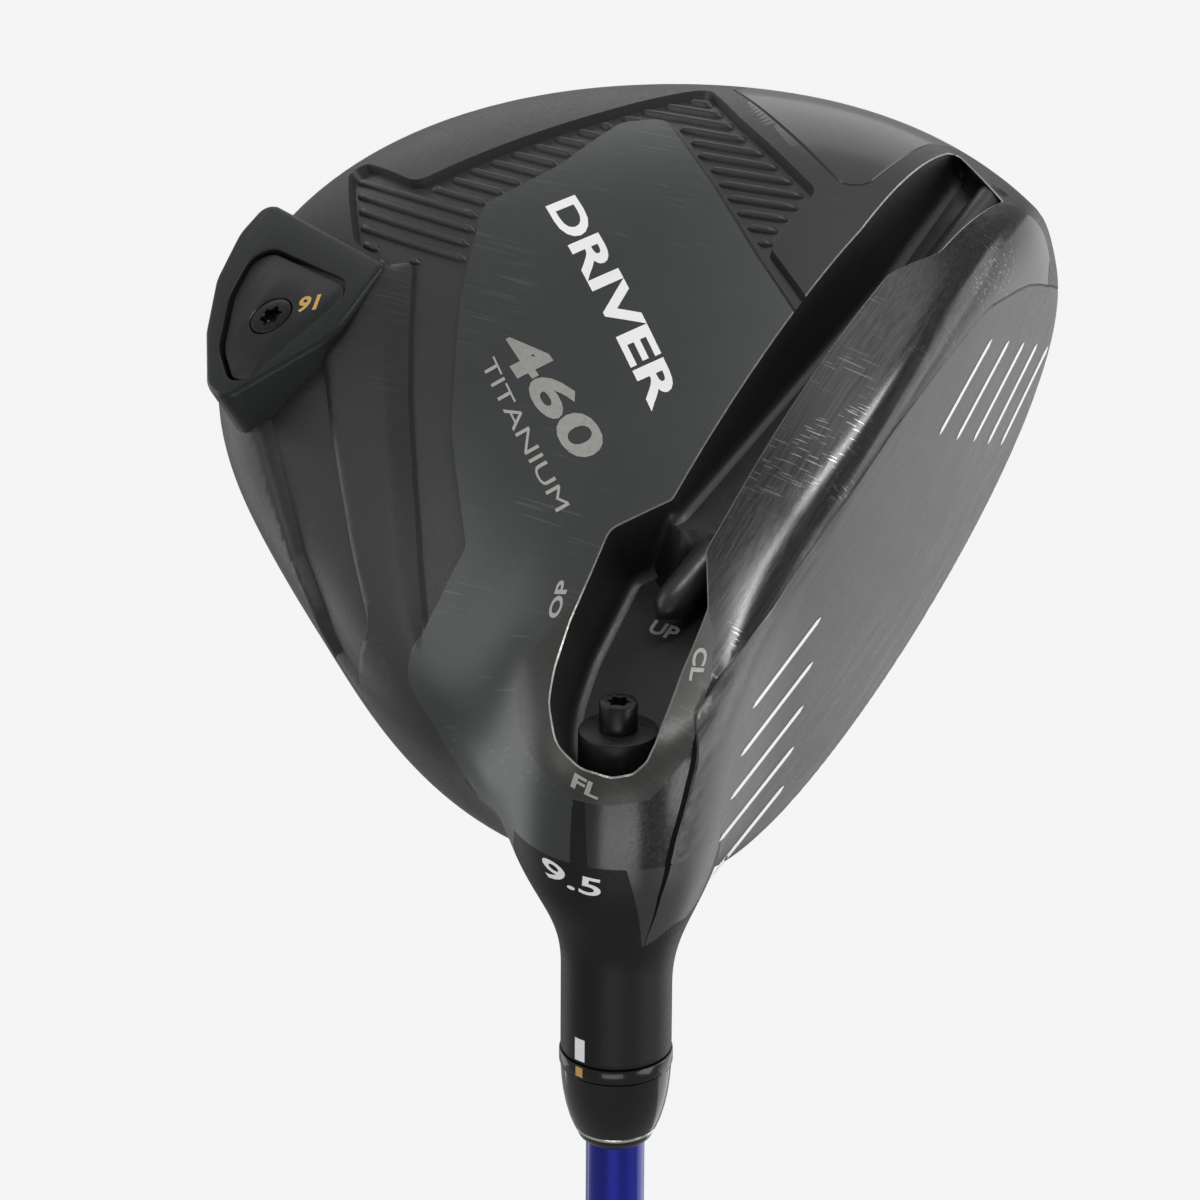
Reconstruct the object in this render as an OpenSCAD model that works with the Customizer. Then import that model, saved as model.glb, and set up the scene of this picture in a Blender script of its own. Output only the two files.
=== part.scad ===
// Golf driver: adjustable hollow titanium head, graphite shaft and rubber grip.
// Millimetres. +X points to the toe, +Y to the target, +Z up. The origin is the
// flat spot on the sole on which the club stands at address.

/* [Club] */
// Length along the shaft axis, from the ground under the heel to the grip's end
club_length = 1149; // [1100:1:1170]
// Angle between the shaft and the ground
lie = 60; // [58:0.5:62]
// Backward lean of the face
loft = 9.5; // [8:0.5:12]

/* [Head] */
// Height of the head's widest outline
waist_height = 30.3; // [28:0.1:33]
// Depth of the sole's bowl below the waist
sole_depth = 29; // [26:0.5:31]
// Height of the crown's dome above the waist
crown_height = 33; // [30:0.5:35]
// Wall of the cast body
body_wall = 1.5; // [1:0.1:2]
// Thickness of the crown shell
crown_wall = 0.9; // [0.7:0.1:1.2]
// Thickness of the face
face_wall = 3.2; // [2.8:0.1:4]
// Radius of the face from heel to toe
bulge_radius = 400; // [250:5:450]
// Radius of the face from sole to crown
roll_radius = 260; // [220:5:400]

/* [Hosel and adapter] */
// Outside radius of the hosel
hosel_r = 8.1; // [7.5:0.1:9]
// Distance of the hosel's end from the ground, along the shaft axis
hosel_end = 62.5; // [58:0.5:66]
// Radius of the bore that the adapter sleeve fits
bore_r = 5.05; // [5:0.01:5.2]
// Radial clearance of the running and sliding fits
fit_gap = 0.05; // [0.02:0.01:0.1]
// Radius of the shaft's tip
tip_r = 4.3; // [4.2:0.05:4.5]
// Radius of the hosel screw's thread
screw_r = 2; // [1.8:0.1:2.5]

/* [Weight] */
// Radius of the weight screw's head
weight_head_r = 3.6; // [3.2:0.1:4]
// Thickness of the weight
weight_t = 4; // [3:0.5:5]

/* [Grip] */
// Length of the grip with its cap
grip_length = 270; // [255:5:280]
// Radius of the grip at its cap
grip_butt_r = 15.6; // [14:0.1:16.5]
// Radius of the grip at its mouth
grip_mouth_r = 9.6; // [9:0.1:11]
// Radius of the shaft under the grip's cap
butt_r = 7.6; // [7.3:0.1:8]

/* [Hidden] */
$fn = 48;

far = 200;

// Plan outline of the head at its waist: radii every 22.5 degrees round the origin,
// from the heel by way of the back, the toe and the face
waist_radii = [60, 52, 53, 59, 66, 69, 66, 64, 66, 72, 78, 82, 83, 82, 79, 72];
waist_step = 360 / len(waist_radii);
toe_rise = 1.8;      // how far the waist climbs from the middle to the toe
face_rise = 5;       // and to the face
crown_plan = 2.9;    // exponents of the dome and the bowl, 2 being an ellipse
crown_side = 3;
sole_plan = 2.05;
sole_side = 2.45;
face_centre = [-4, 54.7, 29.6];
face_outline = [[-61, 44], [-52, 31], [-41, 21], [-33, 15], [-20, 12], [0, 11], [18, 13.5], [34, 19], [46, 27.5],
    [56, 40], [61, 52], [60, 60], [-61, 60]];
face_depth = 40;     // the plate lies in front of this
shaft_foot = [-54, 46, 0];
island_step = 1.5;   // how far the sole plate stands out of the bowl, before its flat is cut

head_spokes = 44;
head_rings = [12, 24, 36, 48, 60, 70, 80, 90, 100, 112, 124, 136, 148, 160, 170];

// The seam between body and crown is a plane that climbs to the top of the face
seam_back = [0, -66, 27];
seam_slope = atan2(30, 118);

// Slot behind the leading edge, and the port round the hosel screw, in plan
slot_outline = [[-26, 36], [30, 36], [59, 34], [51, 47], [34, 47.7], [27, 44.5], [-30, 44.5]];
slot_floor = [0, 0, 12];
slot_slope = atan(0.18);
liner_wall = 1.2;
port_heel = [-60.5, 46];
port_heel_r = 8.8;
port_toe = [-36, 39.5];
port_toe_r = 9.3;
port_floor = 16;

// Where the neck's web dies into the crown and the skirt
web_ends = [[-50, 36, 46], [-54, 20, 30]];
web_r = 6;

// Stations along the shaft axis, from the ground
neck_start = 9;
neck_foot_r = 10.4;
neck_flare_r = 11.2;
screw_top = 7;
ring_top = 11.4;
ring_seat = 17;
bush_end = 24;
sleeve_end = 26;
collar_top = 64.9;
trim_at = 75.4;
ferrule_top = 77.3;
ring_r = 5.8;
ring_room = 1.2;     // space round the lower ring in the hosel's foot
screw_head_r = 2.8;
screw_length = 29;
clip_r = 3.6;
clip_t = 0.8;
screw_bore = 12;     // depth of the thread in the adapter
collar_r = 8.3;
collar_skirt = 11;   // part of the upper ring inside the hosel
collar_skirt_r = 6.4;
lip = 0.6;           // height of the adapter's rim above the collar
ferrule_r = 8.1;
trim_r = 6;
trim_half = 0.3;
trim_seat_r = 5.2;
plug_length = 6;
vent_r = 1.5;
grip_start = club_length - grip_length;
cap_t = 5;
tape_t = 0.3;
shaft_wall = 1.1;
taper_start = 150;

// Weight pod at the back, whose outer face leans by this angle
pod_lean = 11.3;
pod_point = [-10.6, -47, 5.4];
weight_outline = [[12.6, 11.2], [7.2, -11.2], [-13.9, -3.4], [-8, 3.3], [1.6, 8.4]];
pod_outline = [[12.6, -15.6], [22.1, 16.3], [16, 17.2], [5.8, 14.9], [-4.3, 9.7], [-14.2, 2.5], [-16.5, -2],
    [-14, -7], [4.4, -17]];
pod_depth = 13;
pod_wall = 1.5;
pad_room = 0.8;      // room under the weight for its pad
pad_t = 0.5;
weight_gap = 0.3;    // gap round the weight
weight_set = 0.3;    // how deep the weight lies under the pod's face
boss_r = 4.5;
weight_screw_r = 2;
weight_screw_l = 11;
weight_head_t = 1.8;
head_recess = 2;

// A periodic cubic B-spline through the list of radii
function spline(list, u) =
    let (n = len(list), k = floor(u), f = u - k)
    (pow(1 - f, 3) * list[(k + n - 1) % n]
        + (3 * pow(f, 3) - 6 * f * f + 4) * list[(k + n) % n]
        + (-3 * pow(f, 3) + 3 * f * f + 3 * f + 1) * list[(k + n + 1) % n]
        + pow(f, 3) * list[(k + n + 2) % n]) / 6;

function waist(angle) = spline(waist_radii, (angle + 180) / waist_step);

function waist_z(x, y, share) = waist_height + (toe_rise * x + face_rise * y) / 60 * share * share;

// The bowl and the dome, as heights over a point in plan
function sole_z(x, y) =
    let (share = min(norm([x, y]) / waist(atan2(y, x)), 1), z = waist_z(x, y, share))
    z - (sole_depth + z - waist_height) * pow(1 - pow(share, sole_plan), 1 / sole_side);

// The face: a plane leaning back by the loft, with bulge and roll
function face_y(x, z) =
    let (a = x - face_centre[0], b = (z - face_centre[2]) / cos(loft))
    face_centre[1] - b * sin(loft) - (a * a / bulge_radius + b * b / roll_radius) / 2 / cos(loft);

// A point of the head at an angle in plan and an angle from pole to pole, moved inward
function head_point(angle, turn, wall, face) =
    let (low = turn <= 90,
        share = pow(sin(turn), 2 / (low ? sole_plan : crown_plan)),
        r = (waist(angle) - wall) * share,
        x = r * cos(angle),
        y = r * sin(angle),
        rise = waist_z(x, y, share) - waist_height,
        bowl = (sole_depth + rise - wall) * pow(max(cos(turn), 0), 2 / sole_side),
        dome = (crown_height - wall) * pow(max(-cos(turn), 0), 2 / crown_side),
        z = waist_height + rise + (low ? -bowl : dome))
    [x, min(y, face_y(x, z) - face), z];

module head_solid(wall, face) {
    n = head_spokes;
    m = len(head_rings);
    step = 360 / n;
    points = concat(
        [[0, 0, waist_height - sole_depth + wall]],
        [for (turn = head_rings) for (k = [0 : n - 1]) head_point(-180 + k * step, turn, wall, face)],
        [[0, 0, waist_height + crown_height - wall]]);
    last = m * n + 1;
    faces = concat(
        [for (k = [0 : n - 1]) [0, 1 + k, 1 + (k + 1) % n]],
        [for (j = [0 : m - 2]) for (k = [0 : n - 1]) each
            let (a = 1 + j * n + k, b = 1 + j * n + (k + 1) % n)
            [[a, a + n, b], [b, a + n, b + n]]],
        [for (k = [0 : n - 1]) [last, 1 + (m - 1) * n + (k + 1) % n, 1 + (m - 1) * n + k]]);
    polyhedron(points, faces);
}

module above_seam() {
    translate(seam_back)
        rotate([seam_slope, 0, 0])
            translate([-far, -far, 0])
                cube([2 * far, 2 * far, far]);
}

// Puts its children on the shaft axis, with Z running up to the grip
module on_shaft(at = 0) {
    translate(shaft_foot)
        rotate([0, lie - 90, 0])
            translate([0, 0, at])
                children();
}

module tube(at, length, outer, inner) {
    on_shaft(at)
        difference() {
            cylinder(h = length, r = outer);
            translate([0, 0, -1])
                cylinder(h = length + 2, r = inner);
        }
}

module socket(r, depth) {
    for (k = [0 : 2])
        rotate([0, 0, 60 * k])
            cube([2 * r, r * 0.7, 2 * depth], center = true);
}

module port_area(grow) {
    hull() {
        translate(port_heel)
            circle(r = port_heel_r + grow, $fn = 32);
        translate(port_toe)
            circle(r = port_toe_r + grow, $fn = 32);
    }
}

module port_space(grow, top) {
    translate([0, 0, -10])
        linear_extrude(top + 10)
            port_area(grow);
}

// The slot's space up to its sloping floor
module slot_space(grow, lift) {
    intersection() {
        translate([0, 0, -10])
            linear_extrude(60)
                offset(delta = grow)
                    polygon(slot_outline);
        translate(slot_floor)
            rotate([0, -slot_slope, 0])
                translate([-far, -far, lift - far])
                    cube([2 * far, 2 * far, far]);
    }
}

// The neck flares where it runs into the head
module neck_tube() {
    on_shaft()
        rotate_extrude()
            polygon([[0, neck_start], [neck_foot_r, neck_start], [neck_flare_r, 28], [9.4, 40], [hosel_r, 50],
                [hosel_r, hosel_end], [0, hosel_end]]);
}

// The web that joins the neck to the crown and the skirt
module neck_web() {
    hull() {
        on_shaft(44)
            cylinder(h = 1, r = hosel_r, $fn = 32);
        on_shaft(20)
            cylinder(h = 1, r = 10, $fn = 32);
        for (k = [0 : len(web_ends) - 1])
            translate(web_ends[k])
                sphere(r = web_r, $fn = 24);
    }
}

module neck() {
    neck_tube();
    neck_web();
}

// The face plate's outline seen from the front: heel, sole, toe and crown
module face_area() {
    rotate([90, 0, 0])
        translate([0, 0, -far])
            linear_extrude(far - face_depth)
                polygon(face_outline);
}

// Puts its children on the pod's outer face, with Z pointing out of the head
module on_pod(at = 0) {
    translate(pod_point)
        rotate([180 - pod_lean, 0, 0])
            translate([0, 0, at])
                children();
}

module weight_area(grow) {
    offset(r = 3 + grow)
        offset(delta = -3)
            polygon(weight_outline);
}

module pod_block(grow) {
    on_pod(-pod_depth - grow)
        linear_extrude(pod_depth + grow)
            offset(delta = grow)
                polygon(pod_outline);
}

module body_casting() {
    color("#232527")
        difference() {
            head_solid(0, 0);
            head_solid(body_wall, face_wall);
            above_seam();
            face_area();
            slot_space(liner_wall, liner_wall);
            port_space(liner_wall, port_floor + liner_wall);
            neck();
            pod_block(0);
        }
}

module face_plate() {
    color("#3c3d3e")
        intersection() {
            difference() {
                head_solid(0, 0);
                head_solid(body_wall, face_wall);
                above_seam();
            }
            difference() {
                face_area();
                neck();
            }
        }
}

module crown_shell() {
    color("#0e0f11")
        difference() {
            intersection() {
                head_solid(0, 0);
                above_seam();
            }
            head_solid(crown_wall, face_wall);
            neck();
        }
}

// Raised satin plate: rings of points between its middle and its edge
module sole_plate() {
    edge = [[43, -8], [41, -12.5], [28, -15.5], [15.5, -21.5], [5, -18.3], [-2.3, -14.4], [-16, -7], [-24, -3],
        [-37, 6], [-41, 9], [-48, 10], [-51, 16], [-46, 26], [-33.8, 28], [-28, 31], [-24, 34.5], [-8, 34.5],
        [11.5, 34.5], [20.5, 24.7], [31, 10.6], [42.3, -4.2]];
    middle = [-4, 8];
    shares = [0.25, 0.5, 0.75, 1];
    n = len(edge);
    m = len(shares);
    plan = [for (s = shares) for (p = edge) middle + s * (p - middle)];
    points = concat(
        [[middle[0], middle[1], sole_z(middle[0], middle[1]) - island_step]],
        [for (p = plan) [p[0], p[1], sole_z(p[0], p[1]) - island_step]],
        [[middle[0], middle[1], sole_z(middle[0], middle[1]) + body_wall]],
        [for (p = plan) [p[0], p[1], sole_z(p[0], p[1]) + body_wall]]);
    top = m * n + 1;
    faces = concat(
        [for (k = [0 : n - 1]) [0, 1 + (k + 1) % n, 1 + k]],
        [for (j = [0 : m - 2]) for (k = [0 : n - 1]) each
            let (a = 1 + j * n + k, b = 1 + j * n + (k + 1) % n)
            [[a, b, a + n], [b, b + n, a + n]]],
        [for (k = [0 : n - 1]) [top, top + 1 + k, top + 1 + (k + 1) % n]],
        [for (j = [0 : m - 2]) for (k = [0 : n - 1]) each
            let (a = top + 1 + j * n + k, b = top + 1 + j * n + (k + 1) % n)
            [[a, a + n, b], [b, a + n, b + n]]],
        [for (k = [0 : n - 1]) each
            let (a = 1 + (m - 1) * n + k, b = 1 + (m - 1) * n + (k + 1) % n)
            [[a, b, a + top], [b, b + top, a + top]]]);
    color("#4a4d4f")
        difference() {
            polyhedron(points, faces);
            translate([-far, -far, -far])
                cube([2 * far, 2 * far, far]);
            head_solid(0, 0);
        }
}

module slot_channel() {
    color("#151617")
        difference() {
            intersection() {
                head_solid(0, 0);
                slot_space(liner_wall, liner_wall);
            }
            slot_space(0, 0);
            port_space(liner_wall, far);
        }
}

module slot_insert() {
    color("#0b0b0c")
        difference() {
            slot_space(-fit_gap, -fit_gap);
            slot_space(1, -2.2);
            port_space(liner_wall, far);
        }
}

module port_cup() {
    color("#1a1b1c")
        difference() {
            intersection() {
                head_solid(0, 0);
                port_space(liner_wall, port_floor + liner_wall);
            }
            port_space(0, port_floor);
            slot_space(0, 0);
            neck();
        }
}

module hosel() {
    color("#1c1d1e")
        difference() {
            union() {
                neck_tube();
                difference() {
                    neck_web();
                    head_solid(body_wall, face_wall);
                }
            }
            port_space(0, port_floor);
            translate([-far, -far, -far])
                cube([2 * far, 2 * far, far + 3]);
            on_shaft(0)
                cylinder(h = ring_seat, r = ring_r + ring_room);
            on_shaft(ring_seat - 1)
                cylinder(h = hosel_end, r = bore_r);
            on_shaft(hosel_end - collar_skirt - 1)
                cylinder(h = far, r = collar_skirt_r + fit_gap);
        }
}

module weight_port() {
    color("#1c1d1e")
        difference() {
            pod_block(0);
            on_pod(-weight_t - pad_room)
                linear_extrude(far)
                    weight_area(weight_gap);
            on_pod(-pod_depth - 1)
                cylinder(h = pod_depth, r = weight_screw_r + fit_gap);
            on_pod(-pod_depth - 1)
                difference() {
                    linear_extrude(pod_depth + 1 - weight_t - pad_room - pod_wall)
                        offset(delta = -pod_wall)
                            polygon(pod_outline);
                    cylinder(h = far, r = boss_r);
                }
        }
}

module weight_pad() {
    color("#0b0b0c")
        on_pod(-weight_t - pad_room)
            linear_extrude(pad_t)
                difference() {
                    weight_area(-pad_t);
                    circle(r = weight_screw_r + 1);
                }
}

module weight() {
    color("#2a2b2c")
        on_pod(-weight_t - weight_set)
            difference() {
                linear_extrude(weight_t)
                    weight_area(0);
                translate([0, 0, -1])
                    cylinder(h = weight_t + 2, r = weight_screw_r + 0.1);
                translate([0, 0, weight_t - head_recess])
                    cylinder(h = head_recess + 1, r = weight_head_r + 0.1);
            }
}

module weight_screw() {
    color("#17181a")
        on_pod(-weight_set - 0.1)
            difference() {
                union() {
                    translate([0, 0, -weight_head_t])
                        cylinder(h = weight_head_t, r = weight_head_r);
                    translate([0, 0, -weight_screw_l])
                        cylinder(h = weight_screw_l - 1, r = weight_screw_r);
                }
                socket(1.3, 1.5);
            }
}

module lower_ring() {
    color("#1b1c1d")
        on_shaft(ring_top)
            difference() {
                union() {
                    cylinder(h = ring_seat - ring_top - fit_gap, r = ring_r);
                    cylinder(h = bush_end - ring_top, r = bore_r - fit_gap);
                }
                translate([0, 0, -1])
                    cylinder(h = far, r = screw_r + fit_gap);
            }
}

module hosel_screw() {
    color("#242628")
        on_shaft(screw_top)
            difference() {
                union() {
                    cylinder(h = ring_top - screw_top - fit_gap, r = screw_head_r);
                    cylinder(h = screw_length, r = screw_r);
                }
                socket(1.1, 2);
            }
}

module retaining_clip() {
    color("#8f9294")
        tube(bush_end + 0.2, clip_t, clip_r, screw_r);
}

module adapter_sleeve() {
    color("#9b9ea1")
        on_shaft(sleeve_end)
            difference() {
                cylinder(h = collar_top + lip - sleeve_end, r = bore_r - fit_gap);
                translate([0, 0, -1])
                    cylinder(h = screw_bore + 2, r = screw_r + fit_gap);
                translate([0, 0, screw_bore])
                    cylinder(h = far, r = tip_r);
            }
}

module upper_ring() {
    color("#0f1012")
        on_shaft(hosel_end - collar_skirt)
            difference() {
                union() {
                    cylinder(h = collar_skirt + fit_gap, r = collar_skirt_r);
                    translate([0, 0, collar_skirt + fit_gap])
                        cylinder(h = collar_top - hosel_end - fit_gap, r = collar_r);
                }
                translate([0, 0, -1])
                    cylinder(h = far, r = bore_r);
            }
}

module ferrule() {
    color("#0b0c0e")
        on_shaft()
            rotate_extrude()
                polygon([[tip_r, collar_top + lip], [bore_r, collar_top + lip], [bore_r, collar_top + fit_gap],
                    [ferrule_r, collar_top + fit_gap], [ferrule_r - 0.1, collar_top + 2],
                    [ferrule_r - 0.8, collar_top + 6], [trim_r, trim_at - trim_half],
                    [trim_seat_r, trim_at - trim_half], [trim_seat_r, trim_at + trim_half],
                    [trim_r - 0.2, trim_at + trim_half], [trim_seat_r, ferrule_top - 0.4],
                    [trim_seat_r - 0.4, ferrule_top], [tip_r, ferrule_top]]);
}

module ferrule_ring() {
    color("#c9cbcd")
        tube(trim_at - trim_half, 2 * trim_half, trim_r, trim_seat_r);
}

module tip_plug() {
    color("#d8d3c4")
        on_shaft(sleeve_end + screw_bore + 2)
            cylinder(h = plug_length, r = tip_r - shaft_wall);
}

module shaft() {
    end = club_length - cap_t;
    start = sleeve_end + screw_bore;
    color("#1c2682")
        on_shaft()
            rotate_extrude()
                polygon([[tip_r - shaft_wall, start], [tip_r, start], [tip_r, taper_start], [butt_r, grip_start],
                    [butt_r, end], [butt_r - shaft_wall, end], [butt_r - shaft_wall, grip_start],
                    [tip_r - shaft_wall, taper_start]]);
}

module grip_tape() {
    color("#c7b58c")
        tube(grip_start + 2, grip_length - cap_t - 2, butt_r + tape_t, butt_r);
}

module grip() {
    inner = butt_r + tape_t;
    end = club_length - cap_t;
    color("#141516")
        on_shaft()
            rotate_extrude()
                polygon([[butt_r, grip_start], [grip_mouth_r - 0.6, grip_start], [grip_mouth_r, grip_start + 0.8],
                    [grip_mouth_r + 1.3, grip_start + 70], [12.6, grip_start + 170],
                    [14.6, end - 30], [grip_butt_r, end - 5], [grip_butt_r, end], [inner, end],
                    [inner, grip_start + 2], [butt_r, grip_start + 2]]);
}

module grip_cap() {
    color("#101112")
        on_shaft(club_length - cap_t)
            difference() {
                rotate_extrude()
                    polygon([[0, 0], [grip_butt_r, 0], [grip_butt_r + 0.3, 2], [grip_butt_r - 0.6, 4.2],
                        [grip_butt_r - 2.4, cap_t], [0, cap_t]]);
                translate([0, 0, -1])
                    cylinder(h = cap_t + 2, r = vent_r);
            }
}

body_casting();
face_plate();
crown_shell();
sole_plate();
slot_channel();
slot_insert();
port_cup();
hosel();
weight_port();
weight_pad();
weight();
weight_screw();
lower_ring();
hosel_screw();
retaining_clip();
adapter_sleeve();
upper_ring();
ferrule();
ferrule_ring();
tip_plug();
shaft();
grip_tape();
grip();
grip_cap();
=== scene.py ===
import math

import bmesh
import bpy
import numpy as np
from mathutils import Matrix, Vector, geometry, kdtree


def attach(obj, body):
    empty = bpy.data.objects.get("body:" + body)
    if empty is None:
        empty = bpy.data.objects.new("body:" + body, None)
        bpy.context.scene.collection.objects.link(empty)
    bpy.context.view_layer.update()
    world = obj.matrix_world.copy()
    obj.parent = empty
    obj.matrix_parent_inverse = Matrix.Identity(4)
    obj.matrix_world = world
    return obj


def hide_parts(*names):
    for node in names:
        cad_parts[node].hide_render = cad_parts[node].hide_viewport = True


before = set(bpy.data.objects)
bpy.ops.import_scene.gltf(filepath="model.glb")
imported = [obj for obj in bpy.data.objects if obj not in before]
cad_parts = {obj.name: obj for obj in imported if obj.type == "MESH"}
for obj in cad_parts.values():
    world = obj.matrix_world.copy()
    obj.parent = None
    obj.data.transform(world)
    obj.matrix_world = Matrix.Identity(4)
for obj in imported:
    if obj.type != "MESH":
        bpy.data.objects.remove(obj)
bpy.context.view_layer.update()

# ---------------------------------------------------------------- driving sizes, in mm
MM = 0.001
MIDDLE = np.array([0.0, 0.0, 30.0])      # the head's surface is seen whole from here
CHART = 60.0                             # chart units per radian: about 1 mm on the sole
NEAREST_SKIN, FURTHEST_SKIN = 16, 112    # the surface lies between these distances from the middle
WAIST_RADII = [60.3, 52, 52.5, 59.2, 66.8, 69.5, 66.5, 63.9, 65.8, 71.6, 77.8, 81.8, 83.5, 82.7, 79.1, 71.8]
WAIST_Z, TOE_RISE, FACE_RISE, RISE_AT = 30.2, 1.77, 5.13, 60
DOME, DOME_PLAN, DOME_SIDE = 33.15, 2.94, 3.02
BOWL, BOWL_PLAN, BOWL_SIDE = 30.18, 2.03, 2.45
FACE_CENTRE = np.array([-4.0, 54.7, 29.6])
LOFT, BULGE, ROLL = math.radians(9.5), 400.0, 260.0
FACE_N = np.array([0, math.cos(LOFT), math.sin(LOFT)])
FACE_T = np.array([0, -math.sin(LOFT), math.cos(LOFT)])
FACE_BLEND, NECK_BLEND = 4.33, 27.0      # widths over which the shapes melt together
MELT = 8.0                               # half the height over which bowl turns into dome, and the neck's foot
SHELL_REACH = 38                         # mm per unit of the shell's own measure
NECK_FOOT, SLIM_FROM, SLIM_OVER = 12, 30, 26
SHAFT_FOOT = np.array([-54.0, 46.0, 0.0])
SHAFT = np.array([-0.5, 0.0, math.sqrt(0.75)])
SHAFT_TOE = np.array([math.sqrt(0.75), 0.0, 0.5])
SHAFT_FACE = np.array([0.0, 1.0, 0.0])
HOSEL_R, HOSEL_END = 8.1, 62.5
NECK_FROM, NECK_REACH = 28.0, 15.0       # the hosel piece starts at this station, and reaches this far
SEAM_BACK, SEAM_CLIMB, SEAM_FRONT = np.array([0, -66.0, 27.0]), 30 / 118, 7.0
LENGTH, GRIP_LENGTH = 1149.0, 270.0
EYE = np.array([-453.65, 518.41, -683.70])
VIEW_RIGHT = np.array([0.4974, 0.8209, 0.2804])
VIEW_UP = np.array([0.7486, -0.2429, -0.6170])
VIEW_BACK = np.array([-0.4384, 0.5168, -0.7353])
LENS = 195.25


# ---------------------------------------------------------------- the head as a smooth field
def spline(values, u):
    """A smooth closed curve near equally spaced values (a uniform cubic B-spline)."""
    k = np.floor(u).astype(int)
    f = u - k
    n = len(values)
    v = np.array(values)
    return ((1 - f) ** 3 * v[(k - 1) % n] + (3 * f ** 3 - 6 * f * f + 4) * v[k % n]
            + (-3 * f ** 3 + 3 * f * f + 3 * f + 1) * v[(k + 1) % n] + f ** 3 * v[(k + 2) % n]) / 6


def soft_max(a, b, k):
    """The larger of two values, rounded where they are within k of each other."""
    h = np.clip(0.5 + 0.5 * (a - b) / k, 0, 1)
    return b * (1 - h) + a * h + k * h * (1 - h)


def field(p):
    """Below 0 inside the head and its neck, 0 on their surface."""
    x, y, z = p[..., 0], p[..., 1], p[..., 2]
    share = np.hypot(x, y) / spline(WAIST_RADII, (np.degrees(np.arctan2(y, x)) + 180) / 22.5)
    rise = (TOE_RISE * x + FACE_RISE * y) / RISE_AT * share * share
    q = z - WAIST_Z - rise
    dome = share ** DOME_PLAN + (np.abs(q) / DOME) ** DOME_SIDE
    bowl = share ** BOWL_PLAN + (np.abs(q) / (BOWL + rise)) ** BOWL_SIDE
    w = np.clip(0.5 + q / (2 * MELT), 0, 1)
    w = w * w * (3 - 2 * w)
    shell = (np.sqrt(w * dome + (1 - w) * bowl) - 1) * SHELL_REACH
    d = p - FACE_CENTRE
    face = d @ FACE_N + d[..., 0] ** 2 / (2 * BULGE) + (d @ FACE_T) ** 2 / (2 * ROLL)
    head = soft_max(shell, face, FACE_BLEND)
    d = p - SHAFT_FOOT
    along = d @ SHAFT
    off = np.linalg.norm(d - along[..., None] * SHAFT, axis=-1)
    neck = np.maximum(soft_max(off - HOSEL_R, NECK_FOOT - along, MELT), along - HOSEL_END)
    w = np.clip((along - SLIM_FROM) / SLIM_OVER, 0, 1)
    return -soft_max(-head, -neck, NECK_BLEND * (1 - 0.5 * w * w * (3 - 2 * w)))


def normal_at(p, step=0.05):
    g = np.stack([field(p + e) - field(p - e) for e in np.eye(3) * step], -1)
    return g / np.linalg.norm(g, axis=-1, keepdims=True)


def halve(lo, hi, steps, high):
    """Both ends, after halving towards the value from which on high() is true."""
    for _ in range(steps):
        mid = (lo + hi) / 2
        over = high(mid)
        hi = np.where(over, mid, hi)
        lo = np.where(over, lo, mid)
    return lo, hi


def first_exit(start, way, near, far, step=2.0):
    """Distance from start along way at which the surface is first crossed."""
    lo = np.full(len(way), near, float)
    done = np.zeros(len(way), bool)
    for r in np.arange(near, far, step):
        out = field(start + way * (r + step)) > 0
        lo = np.where(~done & ~out, r + step, lo)
        done |= out
    return halve(lo, lo + step, 18, lambda r: field(start + way * r[:, None]) > 0)[0]


def chart(points, up=False):
    """Points on a flat map of the surface, laid round its lowest point, or with up round its top."""
    d = np.atleast_2d(points) - MIDDLE
    turn = np.arccos(np.clip(d[:, 2] / np.linalg.norm(d, axis=1) * (1 if up else -1), -1, 1))
    flat = np.hypot(d[:, 0], d[:, 1]) + 1e-12
    return d[:, :2] / flat[:, None] * turn[:, None] * CHART


def lift(uv, up=False):
    """The points of the surface that the chart's points stand for."""
    turn = np.hypot(uv[:, 0], uv[:, 1])
    flat = uv / (turn[:, None] + 1e-12)
    a = turn / CHART
    way = np.column_stack([flat * np.sin(a)[:, None], np.cos(a) * (1 if up else -1)])
    return MIDDLE + way * first_exit(MIDDLE, way, NEAREST_SKIN, FURTHEST_SKIN)[:, None]


def sole_points(plan):
    """Points in plan, dropped on the sole from below."""
    plan = np.array(plan, float)
    lo, hi = halve(np.full(len(plan), -3.0), np.full(len(plan), 30.0), 30,
                   lambda z: ~(field(np.column_stack([plan, z])) > 0))
    return np.column_stack([plan, (lo + hi) / 2])


def face_points(front):
    """Points given as x and z, pressed on the face from in front."""
    x, z = np.array(front, float).T
    lo, hi = halve(np.full(len(x), 20.0), np.full(len(x), 75.0), 30, lambda y: field(np.column_stack([x, y, z])) > 0)
    return np.column_stack([x, (lo + hi) / 2, z])


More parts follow.
